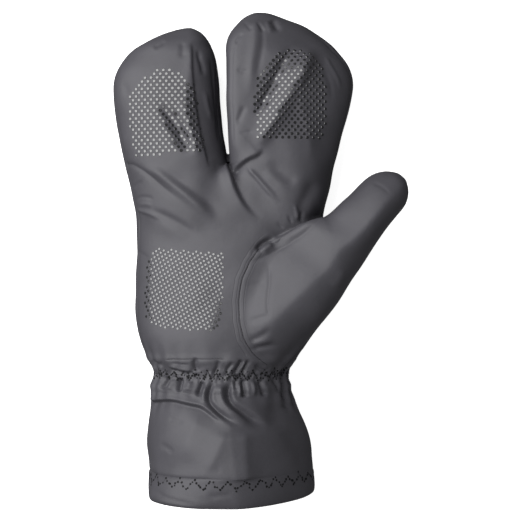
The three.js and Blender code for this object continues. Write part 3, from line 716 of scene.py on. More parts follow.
@dataclass
class GloveForm:
    """The glove's whole skin, before it is cut into its sewn pieces."""

    voxel: float = 0.85
    thumb_arc: tuple[Plan, ...] = (
        (6.0, 12.6), (1.2, 8.7), (-5.8, -1.2), (-10.4, -11.6), (-12.2, -23.2), (-11.6, -34.8), (-9.3, -45.2),
        (-4.6, -53.4), (2.3, -59.7), (8.0, -64.0))
    side_heights: tuple[Plan, ...] = (
        (-200, 37), (-57, 33), (0, 28), (57, 26), (110, 25), (135, 23), (200, 21))
    side_rise: float = 6.5  # of the side seam where it climbs out of the slit between the stalls
    slit_middle: float = -20.0
    slit_end: Plan = (-19.5, 62.0)
    slit_radii: Plan = (1.4, 2.2)  # how the sharp end of the slit spreads across and along the glove
    thumb_reach: tuple[float, float, float] = (-24.0, -75.0, 60.0)  # its least x, and its least and most y
    casing_top: float = -57.3
    casing_bottom: float = -78.5
    hem: float = -124.2
    cuff_end: float = -139.6
    casing_rolls: tuple[Roll, ...] = (Roll(-67.5, 4.6, -1.3), Roll(-58.5, 2.6, 0.7), Roll(-75.0, 2.6, 0.8))
    casing_zigzag: float = -67.2
    hem_zigzag: float = -128.0
    evening: tuple[int, int] = (6, 10)  # rounds before and after the junctions are rounded
    rounding: tuple[int, int] = (110, 14)  # rounds over the junctions, and then at the thumb's foot
    calming: int = 12  # rounds that even the normals
    fine_span: Span = (-91.0, -51.0)  # of the length, where the gathers need smaller faces
    fine_above: float = 24.0
    gathers: int = 22
    pleat_depth: float = 1.5
    pucker_depth: float = 0.32
    pleat_length: tuple[Span, Span] = ((-93.0, -77.0), (-43.0, -60.0))  # where they begin below and above
    tape_height: float = 0.14
    slack_slope: float = 0.0022  # height of the cloth's slack waves, as a share of their length
    seed: int = 7

    def build(self) -> Skin:
        """Joins, evens, folds and seams the skin.

        Returns:
            The skin, with a field for each seam and the share of seam that is near.
        """
        limbs = (HAND, OUTER_STALL, INNER_STALL, SLEEVE, THUMB)
        skin = Skin(remeshed(joined([limb.mesh() for limb in limbs]), self.voxel))
        LOG.info("skin: %d vertices", skin.size)
        skin.even(self.evening[0])
        self.mark_thumb(skin)
        self.round_junctions(skin)
        skin.even(self.evening[1])
        skin.refine(self.fine_span, self.fine_above)
        skin.write("rest", skin.points)
        skin.write("out", skin.even_normals(self.calming))
        self.mark_seams(skin)
        self.fold(skin)
        for seam in Seam:
            skin.cut(seam)
        self.press_seams(skin)
        return skin

    def mark_thumb(self, skin: Skin) -> None:
        """Stores the thumb's field: below zero on the thumb, above it on the hand."""
        points = skin.points
        x, y, z = points.T
        trees = [Skin(mesh).tree() for mesh in (
            THUMB.mesh(), joined([HAND.mesh(), INNER_STALL.mesh(), SLEEVE.mesh()]))]
        values = np.full(skin.size, FAR)
        left, low, high = self.thumb_reach
        near = (x > left) & (y > low) & (y < high)
        for i in np.flatnonzero(near):
            thumb, hand = (tree.find_nearest(points[i])[3] for tree in trees)
            values[i] = thumb - hand
        # On the palm, the seam leaves the junction and follows its own arc.
        arc, _ = along_path(self.thumb_arc, points)
        palm = smoothstep(z, 36, 46) * smoothstep(x, 12, 2) * smoothstep(y, 16, 8)
        skin.write(Seam.THUMB.value, np.where(near, values * (1 - palm) - arc * palm, values))
        skin.write("arc", np.clip(arc, -60, 60))

    def round_junctions(self, skin: Skin) -> None:
        """Smooths the lines where the limbs run into each other."""
        x, y, z = skin.points.T
        thumb = skin.read(Seam.THUMB.value)
        # Where the stalls leave the hand, but not the end of the slit, which stays sharp.
        across = (x - self.slit_end[0]) / self.slit_radii[0]
        along = (y - self.slit_end[1]) / self.slit_radii[1]
        off_slit = smoothstep(np.hypot(across, along), 5.0, 12.0)
        stalls = smoothstep(y, -14, 2) * smoothstep(y, 62, 50) * off_slit * smoothstep(thumb, -1.0, 9.0)
        # Where the thumb's arc crosses the heel of the palm.
        heel = smoothstep(x, 18, 6) * smoothstep(y, 14, 6) * smoothstep(z, 34, 44)
        arc = heel * bell(skin.read("arc"), 0, 11)
        wrist = 0.8 * smoothstep(y, -82, -74) * smoothstep(y, -42, -52)
        skin.relax(np.clip(np.maximum.reduce([stalls, arc, wrist]), 0, 1), self.rounding[0])
        skin.relax(bell(thumb, 0, 5), self.rounding[1])
        skin.points = above_floor(skin.points)

    def mark_seams(self, skin: Skin) -> None:
        """Stores the fields of the seams that run across and round the glove."""
        x, y, z = skin.read("rest").T
        # Over the palm side the seams bow a little, as they do in the round of a wrist.
        palm = smoothstep(z, 15, 50)
        skin.write(Seam.CASING_TOP.value, y - self.casing_top + 1.6 * palm * ((x + 24) / 43) ** 2)
        skin.write(Seam.CASING_BOTTOM.value, y - self.casing_bottom - 0.8 * palm)
        skin.write(Seam.HEM.value, y - self.hem + 0.3 * palm)
        bow = palm * (2.0 - 0.010 * (x + 16)) - 0.0008 * (x + 16) ** 2
        skin.write(Seam.CUFF_END.value, y - self.cuff_end + bow)
        stations, heights = zip(*self.side_heights)
        raised = bell(x, self.slit_middle, 4.5) * smoothstep(y, 60, 74) * smoothstep(y, 150, 138)
        skin.write(Seam.SIDE.value, z - np.interp(y, stations, heights) - self.side_rise * raised)

    def pleats(self, rest: Array, out: Array) -> Array:
        """The gathers that the elastic draws in round the wrist."""
        x, y, z = rest.T
        row = Row.between(SLEEVE.rows, np.clip(y, SLEEVE.rows[0].station, SLEEVE.rows[-1].station))
        waist = row.bottom + SLEEVE.waist * (row.top - row.bottom)
        reach = np.where(z > waist, row.top - waist, waist - row.bottom)
        angle = np.arctan2((z - waist) / reach, (2 * x - row.left - row.right) / (row.right - row.left))
        # The gathers drift and swell on their way round, so that no two are alike.
        turns = self.gathers * angle + 1.2 * np.sin(2 * angle + 0.4) + 0.8 * np.sin(5 * angle)
        turns = turns + 0.02 * (y + 66) * np.sin(3 * angle)
        swell = 0.7 + 0.3 * np.sin(3 * angle + 1)
        below, above = self.pleat_length
        where = smoothstep(y, *below) * smoothstep(y, *above)
        # The palm side has its own pleats, so the regular ones fade out there.
        on_palm = smoothstep(out[:, 2], 0.25, 0.75)
        return self.pleat_depth * swell * where * np.cos(turns) * (1 - 0.75 * on_palm)

    def fold(self, skin: Skin) -> None:
        """Lays the folds, the gathers and the slack of the cloth into the skin."""
        rest, out = skin.read("rest"), skin.read("out")
        up = smoothstep(out[:, 2], -0.05, 0.45)
        facing = np.flatnonzero(up > 0)
        folds = np.zeros(len(facing))
        for fold in (*PALM_FOLDS, *STALL_FOLDS, *CUFF_FOLDS, *PLEATS):
            fold.add_to(folds, rest[facing])
        lift = np.zeros(skin.size)
        lift[facing] = up[facing] * folds
        lift += self.pleats(rest, out) + self.casing(rest) + self.slack(rest) + self.tape(skin)
        moved = above_floor(rest + out * lift[:, None])
        # What lies on the floor stays flat there.
        lying = smoothstep(rest[:, 2], 2.0, 0.0)[:, None]
        skin.points = np.where(lying > 0, moved * (1 - lying) + np.minimum(moved, rest) * lying, moved)
        skin.even(2, 0.5)

    def casing(self, rest: Array) -> Array:
        """The channel of the elastic: drawn in along the zigzag, puffed out above and below it."""
        rolls = sum(roll.height * bell(rest[:, 1], roll.middle, roll.width) for roll in self.casing_rolls)
        return rolls + self.pucker_depth * self.pucker(rest)

    def pucker(self, rest: Array) -> Array:
        """Fine puckers between the stitches of the casing."""
        total = np.zeros(len(rest))
        for wave in np.random.default_rng(self.seed + 1).uniform(size=(9, 3)):
            way = direction(2 * math.pi * wave[0], 0.5 * math.pi * (wave[1] - 0.5))
            total += np.sin(2 * math.pi * (rest @ way) / (3.0 + 2.2 * wave[2]) + 6 * wave[1])
        return total / 3 * bell(rest[:, 1], self.casing_zigzag, 4.0)

    def slack(self, rest: Array) -> Array:
        """Broad shallow waves, as thin cloth over nothing has them."""
        total = np.zeros(len(rest))
        # Each wave has five draws, of which the last is spare.
        for wave in np.random.default_rng(self.seed).uniform(size=(26, 5)):
            length = 14.0 + 26.0 * wave[0]
            way = direction(2 * math.pi * wave[1], math.pi * (wave[2] - 0.5))
            phase = 2 * math.pi * wave[3]
            total += self.slack_slope * length * np.sin(2 * math.pi * (rest @ way) / length + phase)
        return total

    def tape(self, skin: Skin) -> Array:
        """The seam tape behind the thumb seam, which shows through as a raised band."""
        x, _, z = skin.read("rest").T
        band = smoothstep(np.abs(skin.read("arc")), 4.0, 3.0)
        return self.tape_height * band * smoothstep(z, 38, 48) * smoothstep(x, 8, 1)

    def press_seams(self, skin: Skin) -> None:
        """Sinks the cloth into its seams, and stores how near each vertex is to one, which the cloth's colour
        uses as painted shade along the seams.
        """
        points, out = skin.points, skin.read("out")
        x, y, z = points.T
        fields = {seam: skin.read(seam.value) for seam in Seam}
        # A little past the seam, so that the vertices on the seam's own line count as the hand's.
        hand = fields[Seam.CASING_TOP] > -0.1
        # On the palm side, the casing's upper line shows only where the cloth isn't gathered.
        shows = smoothstep(x, -56, -53) * smoothstep(x, -19, -22) * (1 - bell(x, -38, 1.6))
        shows = np.where(z > 20, 0.15 + 0.85 * shows, 1.0)
        hem_depth = 0.6 - 0.45 * smoothstep(x, -38, -20)
        near = np.zeros(skin.size)
        # How deep and how wide each seam's groove is, and where it shows.
        for seam, depth, width, where in (
            (Seam.THUMB, 0.25, 0.5, hand),
            (Seam.SIDE, 0.75, 1.0, hand & (fields[Seam.THUMB] > -0.1)),
            (Seam.CASING_TOP, 0.38 * shows, 0.6, Seam.CASING_TOP.runs(y)),
            (Seam.CASING_BOTTOM, 0.1, 0.8, Seam.CASING_BOTTOM.runs(y)),
            (Seam.HEM, hem_depth, 0.7, Seam.HEM.runs(y)),
            (Seam.CUFF_END, 0.7, 1.2, Seam.CUFF_END.runs(y)),
        ):
            apart = np.abs(fields[seam])
            points -= out * (np.where(where, depth * np.exp(-apart / width), 0.0))[:, None]
            # How near a seam is, scaled by its groove's depth: the colour darkens by it as painted shade in
            # the grooves.
            near = np.maximum(near, np.where(where, np.minimum(1.0, 2 * depth) * np.exp(-apart / 2.5), 0.0))
        skin.points = above_floor(points)
        skin.write("seam", near)
        on_hand = fields[Seam.CASING_TOP] > 0
        # Where the tape's pressed lines show, which the colour darkens as painted shade.
        skin.write("tape", smoothstep(z, 38, 48) * smoothstep(x, 5, 0) * on_hand * smoothstep(y, -60, -52))
        # Beside the side seam in the slit, the field for its pressed lines, also darkened in the colour as
        # painted shade.
        slit = smoothstep(y, 58, 66) * smoothstep(y, 142, 134)
        slit = slit * smoothstep(np.abs(x - self.slit_middle), 12, 6)
        skin.write("edge", np.where(slit > 0.02, fields[Seam.SIDE], FAR))
        # The gathered band of the casing: fine puckers in the bump, and painted highlight and shade specks in
        # the colour.
        skin.write("gather", bell(y, self.casing_zigzag, 4.5))


# ---------------------------------------------------------------------------------------------
# Sewn pieces


@dataclass(frozen=True)
class Piece:
    """One sewn piece of the skin and the solid that it stands for."""

    name: str
    node: str
    wall: float = 1.4
    gap: float = 0.004
    kept: float = 1.0  # share of the faces

    def cut_out(self, skin: Skin, belongs: Array) -> bpy.types.Object:
        """Takes the piece's faces out of the skin and gives them a wall.

        Args:
            skin: The cut skin.
            belongs: For each face, whether it is this piece's.

        Returns:
            The piece, riding on the body, with its mesh in metres at its place.
        """
        bm = bmesh.new()
        bm.from_mesh(skin.mesh)
        others = [face for face, mine in zip(bm.faces, belongs) if not mine]
        bmesh.ops.delete(bm, geom=others, context="FACES")
        self.draw_back(bm)
        obj = finished(bm, self.name, self.node)
        obj.data.shade_smooth()
        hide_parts(self.node)
        if self.kept < 1.0:
            obj.modifiers.new("fewer", "DECIMATE").ratio = self.kept
        shell = obj.modifiers.new("wall", "SOLIDIFY")
        shell.thickness = self.wall * MM
        shell.offset = -1.0
        shell.use_even_offset = False
        return obj

    def draw_back(self, bm: bmesh.types.BMesh) -> None:
        """Draws the piece's edge back from the seam, so that two pieces stay clear."""
        moves = {}
        for vert in bm.verts:
            inner = [e.other_vert(vert).co for e in vert.link_edges if not e.is_boundary]
            if vert.is_boundary and inner:
                way = sum(inner, Vector()) / len(inner) - vert.co
                moves[vert] = way.normalized() * min(self.gap, 0.5 * way.length)
        for vert, move in moves.items():
            vert.co += move
        for edge in bm.edges:
            edge.smooth = not edge.is_boundary


# Each lies below the seam that is named with it, and above those before it. The last two share the side seam.
LOWER_PIECES = {
    Seam.HEM: Piece("hem_fold", "cuff_hem", wall=2.2),
    Seam.CASING_BOTTOM: Piece("cuff_sleeve", "cuff"),
    Seam.CASING_TOP: Piece("casing_band", "wrist_casing"),
    Seam.THUMB: Piece("thumb_shell", "thumb"),
}
PALM = Piece("palm_panel", "hand_palm", kept=0.9)
BACK = Piece("back_panel", "hand_back", kept=0.6)


def sorted_faces(skin: Skin) -> Iterator[tuple[Piece, Array]]:
    """Each piece, with whether it owns each face of the skin by the fields of the seams."""
    corners = listed(skin.mesh.loops, "vertex_index", kind=np.int32)
    starts = listed(skin.mesh.polygons, "loop_start", kind=np.int32)
    counts = np.diff(np.append(starts, len(corners)))
    mean = {seam: np.add.reduceat(skin.read(seam.value)[corners], starts) / counts for seam in Seam}
    left = mean[Seam.CUFF_END] > 0
    for seam, piece in LOWER_PIECES.items():
        yield piece, left & (mean[seam] < 0)
        left = left & (mean[seam] >= 0)
    yield PALM, left & (mean[Seam.SIDE] > 0)
    yield BACK, left & (mean[Seam.SIDE] <= 0)


# ---------------------------------------------------------------------------------------------
# Grip print


def spots_above(tree: BVHTree, plan: Array) -> Spots:
    """The skin's highest points over places of the plan, without those off the glove."""
    above, down = 200.0, Vector((0, 0, -1))
    hits = (tree.ray_cast(Vector((x, y, above)), down) for x, y in plan)
    return [(spot, normal) for spot, normal, _, _ in hits if spot is not None]


def add_disc(
    bm: bmesh.types.BMesh, spot: Vector, way: Vector, height: float, radii: tuple[float, float], sides: int
) -> None:
    """Adds a capped cone.

    Args:
        bm: What to add it to.
        spot: Its middle.
        way: Where its axis points.
        height: Its height.
        radii: Of its foot and of its top.
        sides: How many sides it has.
    """
    place = Matrix.Translation(spot) @ way.to_track_quat("Z", "Y").to_matrix().to_4x4()
    bmesh.ops.create_cone(
        bm, cap_ends=True, segments=sides, radius1=radii[0], radius2=radii[1], depth=height, matrix=place)


@dataclass(frozen=True)
class GripPatch:
    """A field of printed dots on the palm side."""

    name: str
    outline: tuple[Plan, ...]
    first: Plan  # the lattice's two steps
    second: Plan
    origin: Plan
    radius: float
    top: float = 0.78  # of a dot, as a share of its foot
    height: float = 0.22
    sunk: float = 0.2  # share of the height that lies in the cloth
    sides: int = 12
    reach: int = 70  # steps of the lattice to each side

    def lattice(self) -> Array:
        """The dots' places in the plan: the lattice's points inside the outline."""
        counts = range(-self.reach, self.reach + 1)
        steps = np.array([[i, j] for i in counts for j in counts])
        points = np.array(self.origin) + steps @ np.array([self.first, self.second])
        x, y = points.T
        within = np.zeros(len(points), bool)
        for (x1, y1), (x2, y2) in zip(self.outline, (*self.outline[1:], self.outline[0])):
            if y1 != y2:
                within ^= ((y1 > y) != (y2 > y)) & (x < x1 + (y - y1) * (x2 - x1) / (y2 - y1))
        return points[within]

    def build(self, tree: BVHTree) -> bpy.types.Object:
        """Prints the dots on the skin.

        Args:
            tree: The finished skin, in millimetres.

        Returns:
            One object of flat-topped discs.
        """
        bm = bmesh.new()
        radii = self.radius, self.top * self.radius
        for spot, normal in spots_above(tree, self.lattice()):
            middle = spot + normal * (0.5 - self.sunk) * self.height
            add_disc(bm, middle, normal, self.height, radii, self.sides)
        return finished(bm, self.name, "grip_print")


STALL_LATTICE = (3.63, 0.0), (1.815, -2.17)
OUTER_PATCH = GripPatch(
    "outer_stall_print",
    ((-73.8, 60.7), (-76.8, 76.2), (-77.6, 91.4), (-77.1, 97.3), (-68.6, 108.7), (-62.1, 111.6),
     (-56.3, 113.4), (-46.9, 110.8), (-42.2, 106.9), (-38.1, 103.1), (-35.7, 82.0), (-32.2, 66.2),
     (-34.6, 63.6), (-52.2, 62.7)),
    *STALL_LATTICE, (-57.0, 112.0), radius=1.05)
INNER_PATCH = GripPatch(
    "inner_stall_print",
    ((-2.9, 70.0), (-3.2, 93.8), (-2.9, 104.3), (1.2, 112.5), (7.6, 120.7), (14.1, 123.6), (21.1, 125.1),
     (31.1, 122.8), (36.9, 117.2), (38.7, 102.0), (39.8, 82.6), (36.3, 71.5)),
    *STALL_LATTICE, (20.5, 124.0), radius=1.0)
PALM_PATCH = GripPatch(
    "palm_print",
    ((-62.1, 6.7), (-20.9, 4.1), (-20.9, -1.2), (-21.8, -23.2), (-23.8, -38.9), (-26.1, -40.9),
     (-48.1, -40.3), (-62.1, -38.6), (-67.6, -33.6), (-68.1, -23.2), (-67.3, -1.2)),
    (2.755, -0.93), (-1.86, -1.305), (-40.0, 0.0), radius=0.9)


# ---------------------------------------------------------------------------------------------
# Stitching


@dataclass(frozen=True)
class Stitching:
    """A row of stitches that lie in the skin, with a dark disc at each end of each, which paints the shade of
    its needle hole.
    """

    thread: float  # radius
    hole_shade: float  # radius
    unevenness: float
    thread_sides: int = 6
    proud: float = 0.3  # share of its radius by which a stitch's middle stands over the cloth
    hole_shade_sides: int = 8
    hole_shade_depth: float = 0.16
    hole_shade_rise: float = 0.03
    hole_shade_taper: float = 0.9
    hole_shade_sizes: Span = (0.75, 1.1)  # least and most, as shares of the radius
    length: float = 0.8  # of a stitch, as a share of the way between its holes
    longest: float = 6.0  # way between two holes that a stitch still spans
    shortest: float = 0.3
    lowest: float = 0.3  # so that no stitch comes through the cloth that lies on the floor

    def sew(self, name: str, spots: Spots, seed: int) -> bpy.types.Object:
        """Sews one short stitch between each two needle holes, and a dark disc of painted shade at each hole.

        Args:
            name: The row's name.
            spots: Each needle hole's place and the cloth's normal there.
            seed: Which uneven row this is.

        Returns:
            The row as one object.
        """
        rng = np.random.default_rng(seed)
        bm = bmesh.new()
        placed = []
        for spot, up in spots:
            moved = spot + Vector(rng.normal(0.0, self.unevenness, 3))
            moved -= up * (moved - spot).dot(up)
            moved.z = max(moved.z, self.lowest)
            placed.append((moved, up))
        for (a, up_a), (b, up_b) in zip(placed, placed[1:]):
            way = b - a
            if self.shortest < way.length < self.longest:
                middle = (a + b) / 2 + (up_a + up_b).normalized() * self.proud * self.thread
                radii = self.thread, self.thread
                add_disc(bm, middle, way, self.length * way.length, radii, self.thread_sides)
        # Dark discs of thread at the needle holes: painted shade.
        for spot, up in placed:
            size = self.hole_shade * rng.uniform(*self.hole_shade_sizes)
            radii = size, self.hole_shade_taper * size
            add_disc(bm, spot + up * self.hole_shade_rise, up, self.hole_shade_depth, radii, self.hole_shade_sides)
        return finished(bm, name, "thread")


@dataclass(frozen=True)
class ZigzagRow:
    """A zigzag that runs all the way round the sleeve."""

    name: str
    middle: float  # its y
    height: float
    periods: int
    holes: int  # needle holes in each period
    stitching: Stitching
    axis_height: float = 0.45  # of the line that it is laid out from, as a share of the sleeve's height
    steps: int = 720  # round the sleeve, to measure its girth
    reach: float = 30.0  # from that line, where there is no cloth to sew on

    def build(self, tree: BVHTree) -> bpy.types.Object:
        """Sews the zigzag onto the skin.

        Args:
            tree: The finished skin, in millimetres.

        Returns:
            The stitches as one object.
        """
        row = Row.between(SLEEVE.rows, np.array([self.middle]))
        axis = Vector(((row.left[0] + row.right[0]) / 2, self.middle, self.axis_height * row.top[0]))
        angles = np.linspace(-math.pi, math.pi, self.steps + 1)
        ring = [self.spot(tree, axis, angle, 0.0)[0] for angle in angles]
        run = np.concatenate(([0.0], np.cumsum([(b - a).length for a, b in zip(ring, ring[1:])])))
        count = self.periods * self.holes
        spots = []
        for k in range(count + 1):
            wave = (k % self.holes) / self.holes
            offset = self.height * (abs(2 * wave - 1) - 0.5)
            spots.append(self.spot(tree, axis, float(np.interp(k / count * run[-1], run, angles)), offset))
        return self.stitching.sew(self.name, spots, self.periods)

    def spot(self, tree: BVHTree, axis: Vector, angle: float, offset: float) -> tuple[Vector, Vector]:
        """The skin's point and normal at an angle round the sleeve, offset along it."""
        way = Vector((math.cos(angle), 0.0, math.sin(angle)))
        start = axis + Vector((0.0, offset, 0.0))
        hit, normal, _, _ = tree.ray_cast(start, way)
        if hit is None:
            return start + way * self.reach, way
        return hit, normal if normal.dot(way) > 0 else -normal


@dataclass(frozen=True)
class ThumbRow:
    """The straight row of fine stitches along the thumb's seam on the palm side."""

    name: str = "thumb_stitching"
    pitch: float = 1.7
    bare: tuple[int, int] = (6, -3)  # steps of the seam's arc that are left without stitches at its ends
    seed: int = 5
    stitching: Stitching = Stitching(thread=0.10, hole_shade=0.24, unevenness=0.06)

    def build(self, tree: BVHTree) -> bpy.types.Object:
        """Sews the row onto the skin.

        Args:
            tree: The finished skin, in millimetres.

        Returns:
            The stitches as one object.
        """
        path = curved(GloveForm.thumb_arc, self.pitch)[slice(*self.bare)]
        return self.stitching.sew(self.name, spots_above(tree, path), self.seed)


# ---------------------------------------------------------------------------------------------
# Finishes


class Socket:
    """An output socket, with Python's operators adding Math nodes to it."""

    def __init__(self, graph: "Graph", socket: bpy.types.NodeSocket) -> None:
        """Keeps the graph, so that an operator can add to it."""
        self.graph, self.socket = graph, socket

    def _with(self, operation: str, *values: object) -> "Socket":
        """A Math node of these values."""
        return self.graph.node("ShaderNodeMath", {"operation": operation}, dict(enumerate(values)))

    def __add__(self, other: object) -> "Socket":
        """Sum."""
        return self._with("ADD", self, other)

    def __radd__(self, other: object) -> "Socket":
        """Sum, reflected."""
        return self._with("ADD", other, self)

    def __sub__(self, other: object) -> "Socket":
        """Difference."""
        return self._with("SUBTRACT", self, other)

    def __mul__(self, other: object) -> "Socket":
        """Product."""
        return self._with("MULTIPLY", self, other)

    def __rmul__(self, other: object) -> "Socket":
        """Product, reflected."""
        return self._with("MULTIPLY", other, self)

    def __abs__(self) -> "Socket":
        """Size without sign."""
        return self._with("ABSOLUTE", self)


class Graph:
    """A material's node tree."""

    def __init__(self, name: str) -> None:
        """Starts a material with a Principled BSDF on its output."""
        self.material = bpy.data.materials.new(name)
        self.material.use_nodes = True
        self.tree = self.material.node_tree
        self.tree.nodes.clear()
        output = self.tree.nodes.new("ShaderNodeOutputMaterial")
        self.shader = self.tree.nodes.new("ShaderNodeBsdfPrincipled")
        self.tree.links.new(self.shader.outputs[0], output.inputs["Surface"])

    def node(
        self, kind: str, settings: dict | None = None, inputs: dict | None = None, output: object = 0
    ) -> Socket:
        """Adds a node.

        Args:
            kind: The node's type.
            settings: Its properties.
            inputs: Values or sockets, by the input's name or index.
            output: The output that is wanted, by name or index.

        Returns:
            That output.
        """
        made = self.tree.nodes.new(kind)
        for name, value in (settings or {}).items():
            setattr(made, name, value)
        for key, value in (inputs or {}).items():
            self.feed(made.inputs[key], value)
        return Socket(self, made.outputs[output])

    def feed(self, target: bpy.types.NodeSocket, value: object) -> None:
        """Links a socket to an input, or sets a plain value on it."""
        if isinstance(value, Socket):
            self.tree.links.new(value.socket, target)
        else:
            target.default_value = value

    def noise(self, scale: float, detail: float = 2.0, **more: float) -> Socket:
        """Noise in the object's own space, with that many cells in each metre."""
        place = self.node("ShaderNodeTexCoord", output="Object")
        inputs = {"Vector": place, "Scale": scale, "Detail": detail, **more}
        return self.node("ShaderNodeTexNoise", inputs=inputs)

    def mix(self, share: Socket, none: Colour, full: Colour) -> Socket:
        """A colour between two, by a share."""
        # The node has one A, B and result for each type of value. Those of colours are 6, 7 and 2.
        ends = {"Factor": share, 6: none, 7: full}
        return self.node("ShaderNodeMix", {"data_type": "RGBA"}, ends, output=2)

    def bump(self, height: Socket, strength: float, distance: float) -> Socket:
        """A normal that follows a height."""
        return self.node("ShaderNodeBump", inputs={
            "Height": height, "Strength": strength, "Distance": distance})

    def finish(self, **inputs: object) -> bpy.types.Material:
        """Feeds the shader's inputs, with _ for a space in their names, and gives the material."""
        for name, value in inputs.items():
            self.feed(self.shader.inputs[name.replace("_", " ")], value)
        return self.material


@dataclass(frozen=True)
class CoatedFabric:
    """Smooth waterproof cloth with a matt polyurethane face."""

    name: str = "coated_fabric"
    colour: Colour = (0.0705, 0.0685, 0.0785, 1.0)
    deep: Colour = (0.056, 0.0545, 0.0625, 1.0)
    roughness: float = 0.50
    # Pressed lines: dents in the bump and painted shade in the colour.
    tape_lines: tuple[float, ...] = (-4.0, -1.6, 2.9)  # mm from the thumb's seam
    edge_lines: tuple[float, ...] = (1.6, 4.2)  # mm from the side seam between the stalls
    line_width: float = 0.45

    def build(self) -> bpy.types.Material:
        """The cloth: cloudy tone, darker along the seams and their pressed lines as painted shade, with
        painted highlight and shade specks in the casing, a fine grain and small creases.
        """
        g = Graph(self.name)
        cloud = g.noise(38.0, 4.0, Roughness=0.6)
        grain = g.noise(2600.0, Roughness=0.6)
        crinkle = g.noise(120.0, 3.0, Distortion=0.6)
        tight = g.noise(620.0, Roughness=0.6)
        seam, arc, tape, edge, gather = (
            g.node("ShaderNodeAttribute", {"attribute_name": name}, output="Fac")
            for name in ("seam", "arc", "tape", "edge", "gather"))
        # The pressed lines of the seam tape and side seam: dents in the bump, and painted shade in the
        # colour.
        lines = self.lines(g, arc, self.tape_lines) * tape + 1.6 * self.lines(g, edge, self.edge_lines)
        # Seam, lines and the gathered band paint shade and highlight into the tone; cloud and grain are the
        # cloth's own.
        value = cloud + 0.25 * (grain - 0.5) - 0.35 * seam - 0.42 * lines + 1.5 * gather * (tight - 0.5)
        tone = g.node("ShaderNodeMapRange", inputs={"Value": value, "From Min": 0.25, "From Max": 0.7})
        height = 0.5 * grain + 2.2 * crinkle + 4.0 * gather * tight - 1.2 * lines
        return g.finish(
            Base_Color=g.mix(tone, self.deep, self.colour), Normal=g.bump(height, 0.35, 0.00022), IOR=1.38,
            Roughness=self.roughness + 0.14 * (cloud - 0.5) + 0.08 * (grain - 0.5))

    def lines(self, g: Graph, field: Socket, places: Sequence[float]) -> Socket:
        """Fine lines where a field has these values: 1 on them, 0 beyond their width."""
        return sum((g.node("ShaderNodeMapRange", {"interpolation_type": "SMOOTHSTEP"}, {
            "Value": abs(field - at), "From Max": self.line_width, "To Min": 1.0, "To Max": 0.0})
            for at in places), 0.0)


@dataclass(frozen=True)
class SiliconePrint:
    """Glossy black grip print."""

    name: str = "silicone_print"
    colour: Colour = (0.008, 0.008, 0.009, 1.0)
    dusty: Colour = (0.016, 0.016, 0.017, 1.0)

    def build(self) -> bpy.types.Material:
        """The print: black, clear-coated, with slightly uneven gloss."""
        g = Graph(self.name)
        uneven, dust = g.noise(300.0), g.noise(1800.0)
        return g.finish(
            Base_Color=g.mix(dust, self.colour, self.dusty), Roughness=0.10 + 0.16 * uneven + 0.05 * dust,
            IOR=1.5, Coat_Weight=1.0, Coat_Roughness=0.12, Coat_IOR=1.6)


@dataclass(frozen=True)
class ThreadAndHoleShade:
    """Dark polyester thread, which also paints the shade of the needle holes."""

    name: str = "sewing_thread"
    colour: Colour = (0.003, 0.003, 0.0035, 1.0)
    worn: Colour = (0.012, 0.012, 0.013, 1.0)

    def build(self) -> bpy.types.Material:
        """The thread: near black, with fine plies."""
        g = Graph(self.name)
        plies = g.noise(3500.0)
        return g.finish(
            Base_Color=g.mix(plies, self.colour, self.worn), Roughness=0.7 + 0.2 * plies,
            Normal=g.bump(plies, 0.4, 0.0001), IOR=1.3)


@dataclass(frozen=True)
class PaleFloor:
    """A plain white floor that glows of itself, as a light table does."""

    name: str = "pale_floor"
    colour: Colour = (0.93, 0.93, 0.93, 1.0)
    glow: float = 0.95

    def build(self) -> bpy.types.Material:
        """The floor: matt and nearly white."""
        return Graph(self.name).finish(
            Base_Color=self.colour, Roughness=0.9, Emission_Color=self.colour, Emission_Strength=self.glow)


# ---------------------------------------------------------------------------------------------
# Studio


@dataclass(frozen=True)
class Softbox:
    """A square light that faces the glove. Lengths are in metres."""

    name: str
    angle: float  # how far from straight up it hangs, in degrees
    turn: float  # its direction in the plan, in degrees from +X
    size: float
    power: float
    mirrored: bool = True  # by the glossy print
    distance: float = 1.2
    aim: float = 0.03  # height of the spot that it faces

    def hang(self) -> None:
        """Adds the light to the scene."""
        light = bpy.data.lights.new(self.name, "AREA")
        light.shape = "SQUARE"
        light.size, light.energy = self.size, self.power
        obj = bpy.data.objects.new(self.name, light)
        back = Vector(direction(math.radians(self.turn), math.radians(90.0 - self.angle)))
        obj.location = back * self.distance + Vector((0, 0, self.aim))
        obj.rotation_euler = back.to_track_quat("Z", "Y").to_euler()
        obj.visible_glossy = self.mirrored
        bpy.context.scene.collection.objects.link(obj)


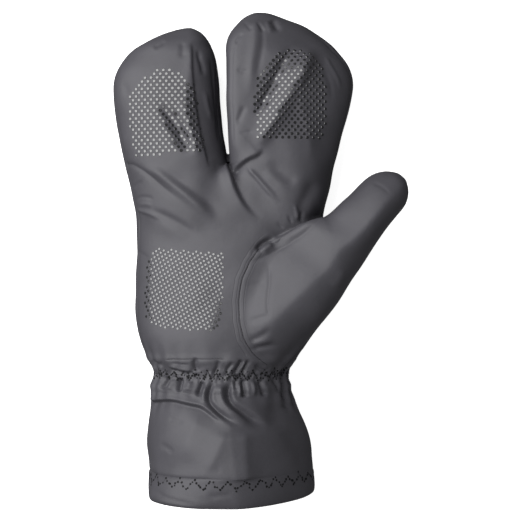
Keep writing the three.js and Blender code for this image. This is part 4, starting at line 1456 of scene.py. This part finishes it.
@dataclass(frozen=True)
class Studio:
    """The floor, the lights and the camera."""

    distance: float = 800.0  # from the camera to the plane that the plan's scale holds in
    plane: float = 26.0
    field_width: float = 312.0
    sensor: float = 36.0
    lights: tuple[Softbox, ...] = (
        Softbox("key", 45.0, 153.0, 1.4, 29.8), Softbox("fill", 58.0, -36.0, 1.6, 3.6, mirrored=False))
    room: float = 0.1
    floor_size: float = 4.0
    floor_drop: float = 0.0004  # below the glove

    def build(self) -> None:
        """Sets the studio up."""
        self.floor()
        for light in self.lights:
            light.hang()
        world = bpy.data.worlds.new("room")
        world.use_nodes = True
        world.node_tree.nodes["Background"].inputs["Color"].default_value = (1, 1, 1, 1)
        world.node_tree.nodes["Background"].inputs["Strength"].default_value = self.room
        bpy.context.scene.world = world
        bpy.context.scene.view_settings.view_transform = "Standard"
        self.camera()

    def floor(self) -> None:
        """A large floor just under the glove."""
        mesh = bpy.data.meshes.new("floor")
        with edited(mesh) as bm:
            bmesh.ops.create_grid(bm, x_segments=1, y_segments=1, size=self.floor_size)
            bmesh.ops.translate(bm, vec=(0, 0, -self.floor_drop), verts=bm.verts)
        mesh.materials.append(PaleFloor().build())
        obj = bpy.data.objects.new("floor", mesh)
        bpy.context.scene.collection.objects.link(obj)
        # The white floor neither throws light back up nor shades the low fill light.
        obj.visible_diffuse = obj.visible_glossy = obj.visible_shadow = False

    def camera(self) -> None:
        """Looks straight down, as the photograph does."""
        data = bpy.data.cameras.new("camera")
        data.sensor_width = self.sensor
        data.lens = self.sensor * self.distance / self.field_width
        obj = bpy.data.objects.new("camera", data)
        obj.location = (PLACE + Vector((0, 0, self.plane + self.distance))) * MM
        bpy.context.scene.collection.objects.link(obj)
        bpy.context.scene.camera = obj


def main() -> None:
    """Builds the glove and its studio."""
    logging.basicConfig(level=logging.INFO, format="%(name)s %(message)s")
    form = GloveForm()
    skin = form.build()
    fabric, silicone, thread = CoatedFabric().build(), SiliconePrint().build(), ThreadAndHoleShade().build()
    for piece, belongs in sorted_faces(skin):
        piece.cut_out(skin, belongs).data.materials.append(fabric)
    tree = skin.tree()
    for patch in (OUTER_PATCH, INNER_PATCH, PALM_PATCH):
        patch.build(tree).data.materials.append(silicone)
    # The thread's material also paints the shade of the needle holes.
    for row in (
        ZigzagRow("casing_zigzag", form.casing_zigzag, 5.6, 33, 8, Stitching(0.1, 0.66, 0.4)),
        ZigzagRow("casing_zigzag_lower", form.casing_zigzag, 3.4, 51, 4, Stitching(0.06, 0.6, 0.6)),
        ZigzagRow("hem_zigzag", form.hem_zigzag, 5.0, 28, 8, Stitching(0.05, 0.7, 0.45)),
        ThumbRow(),
    ):
        row.build(tree).data.materials.append(thread)
    Studio().build()


if __name__ == "__main__":
    main()
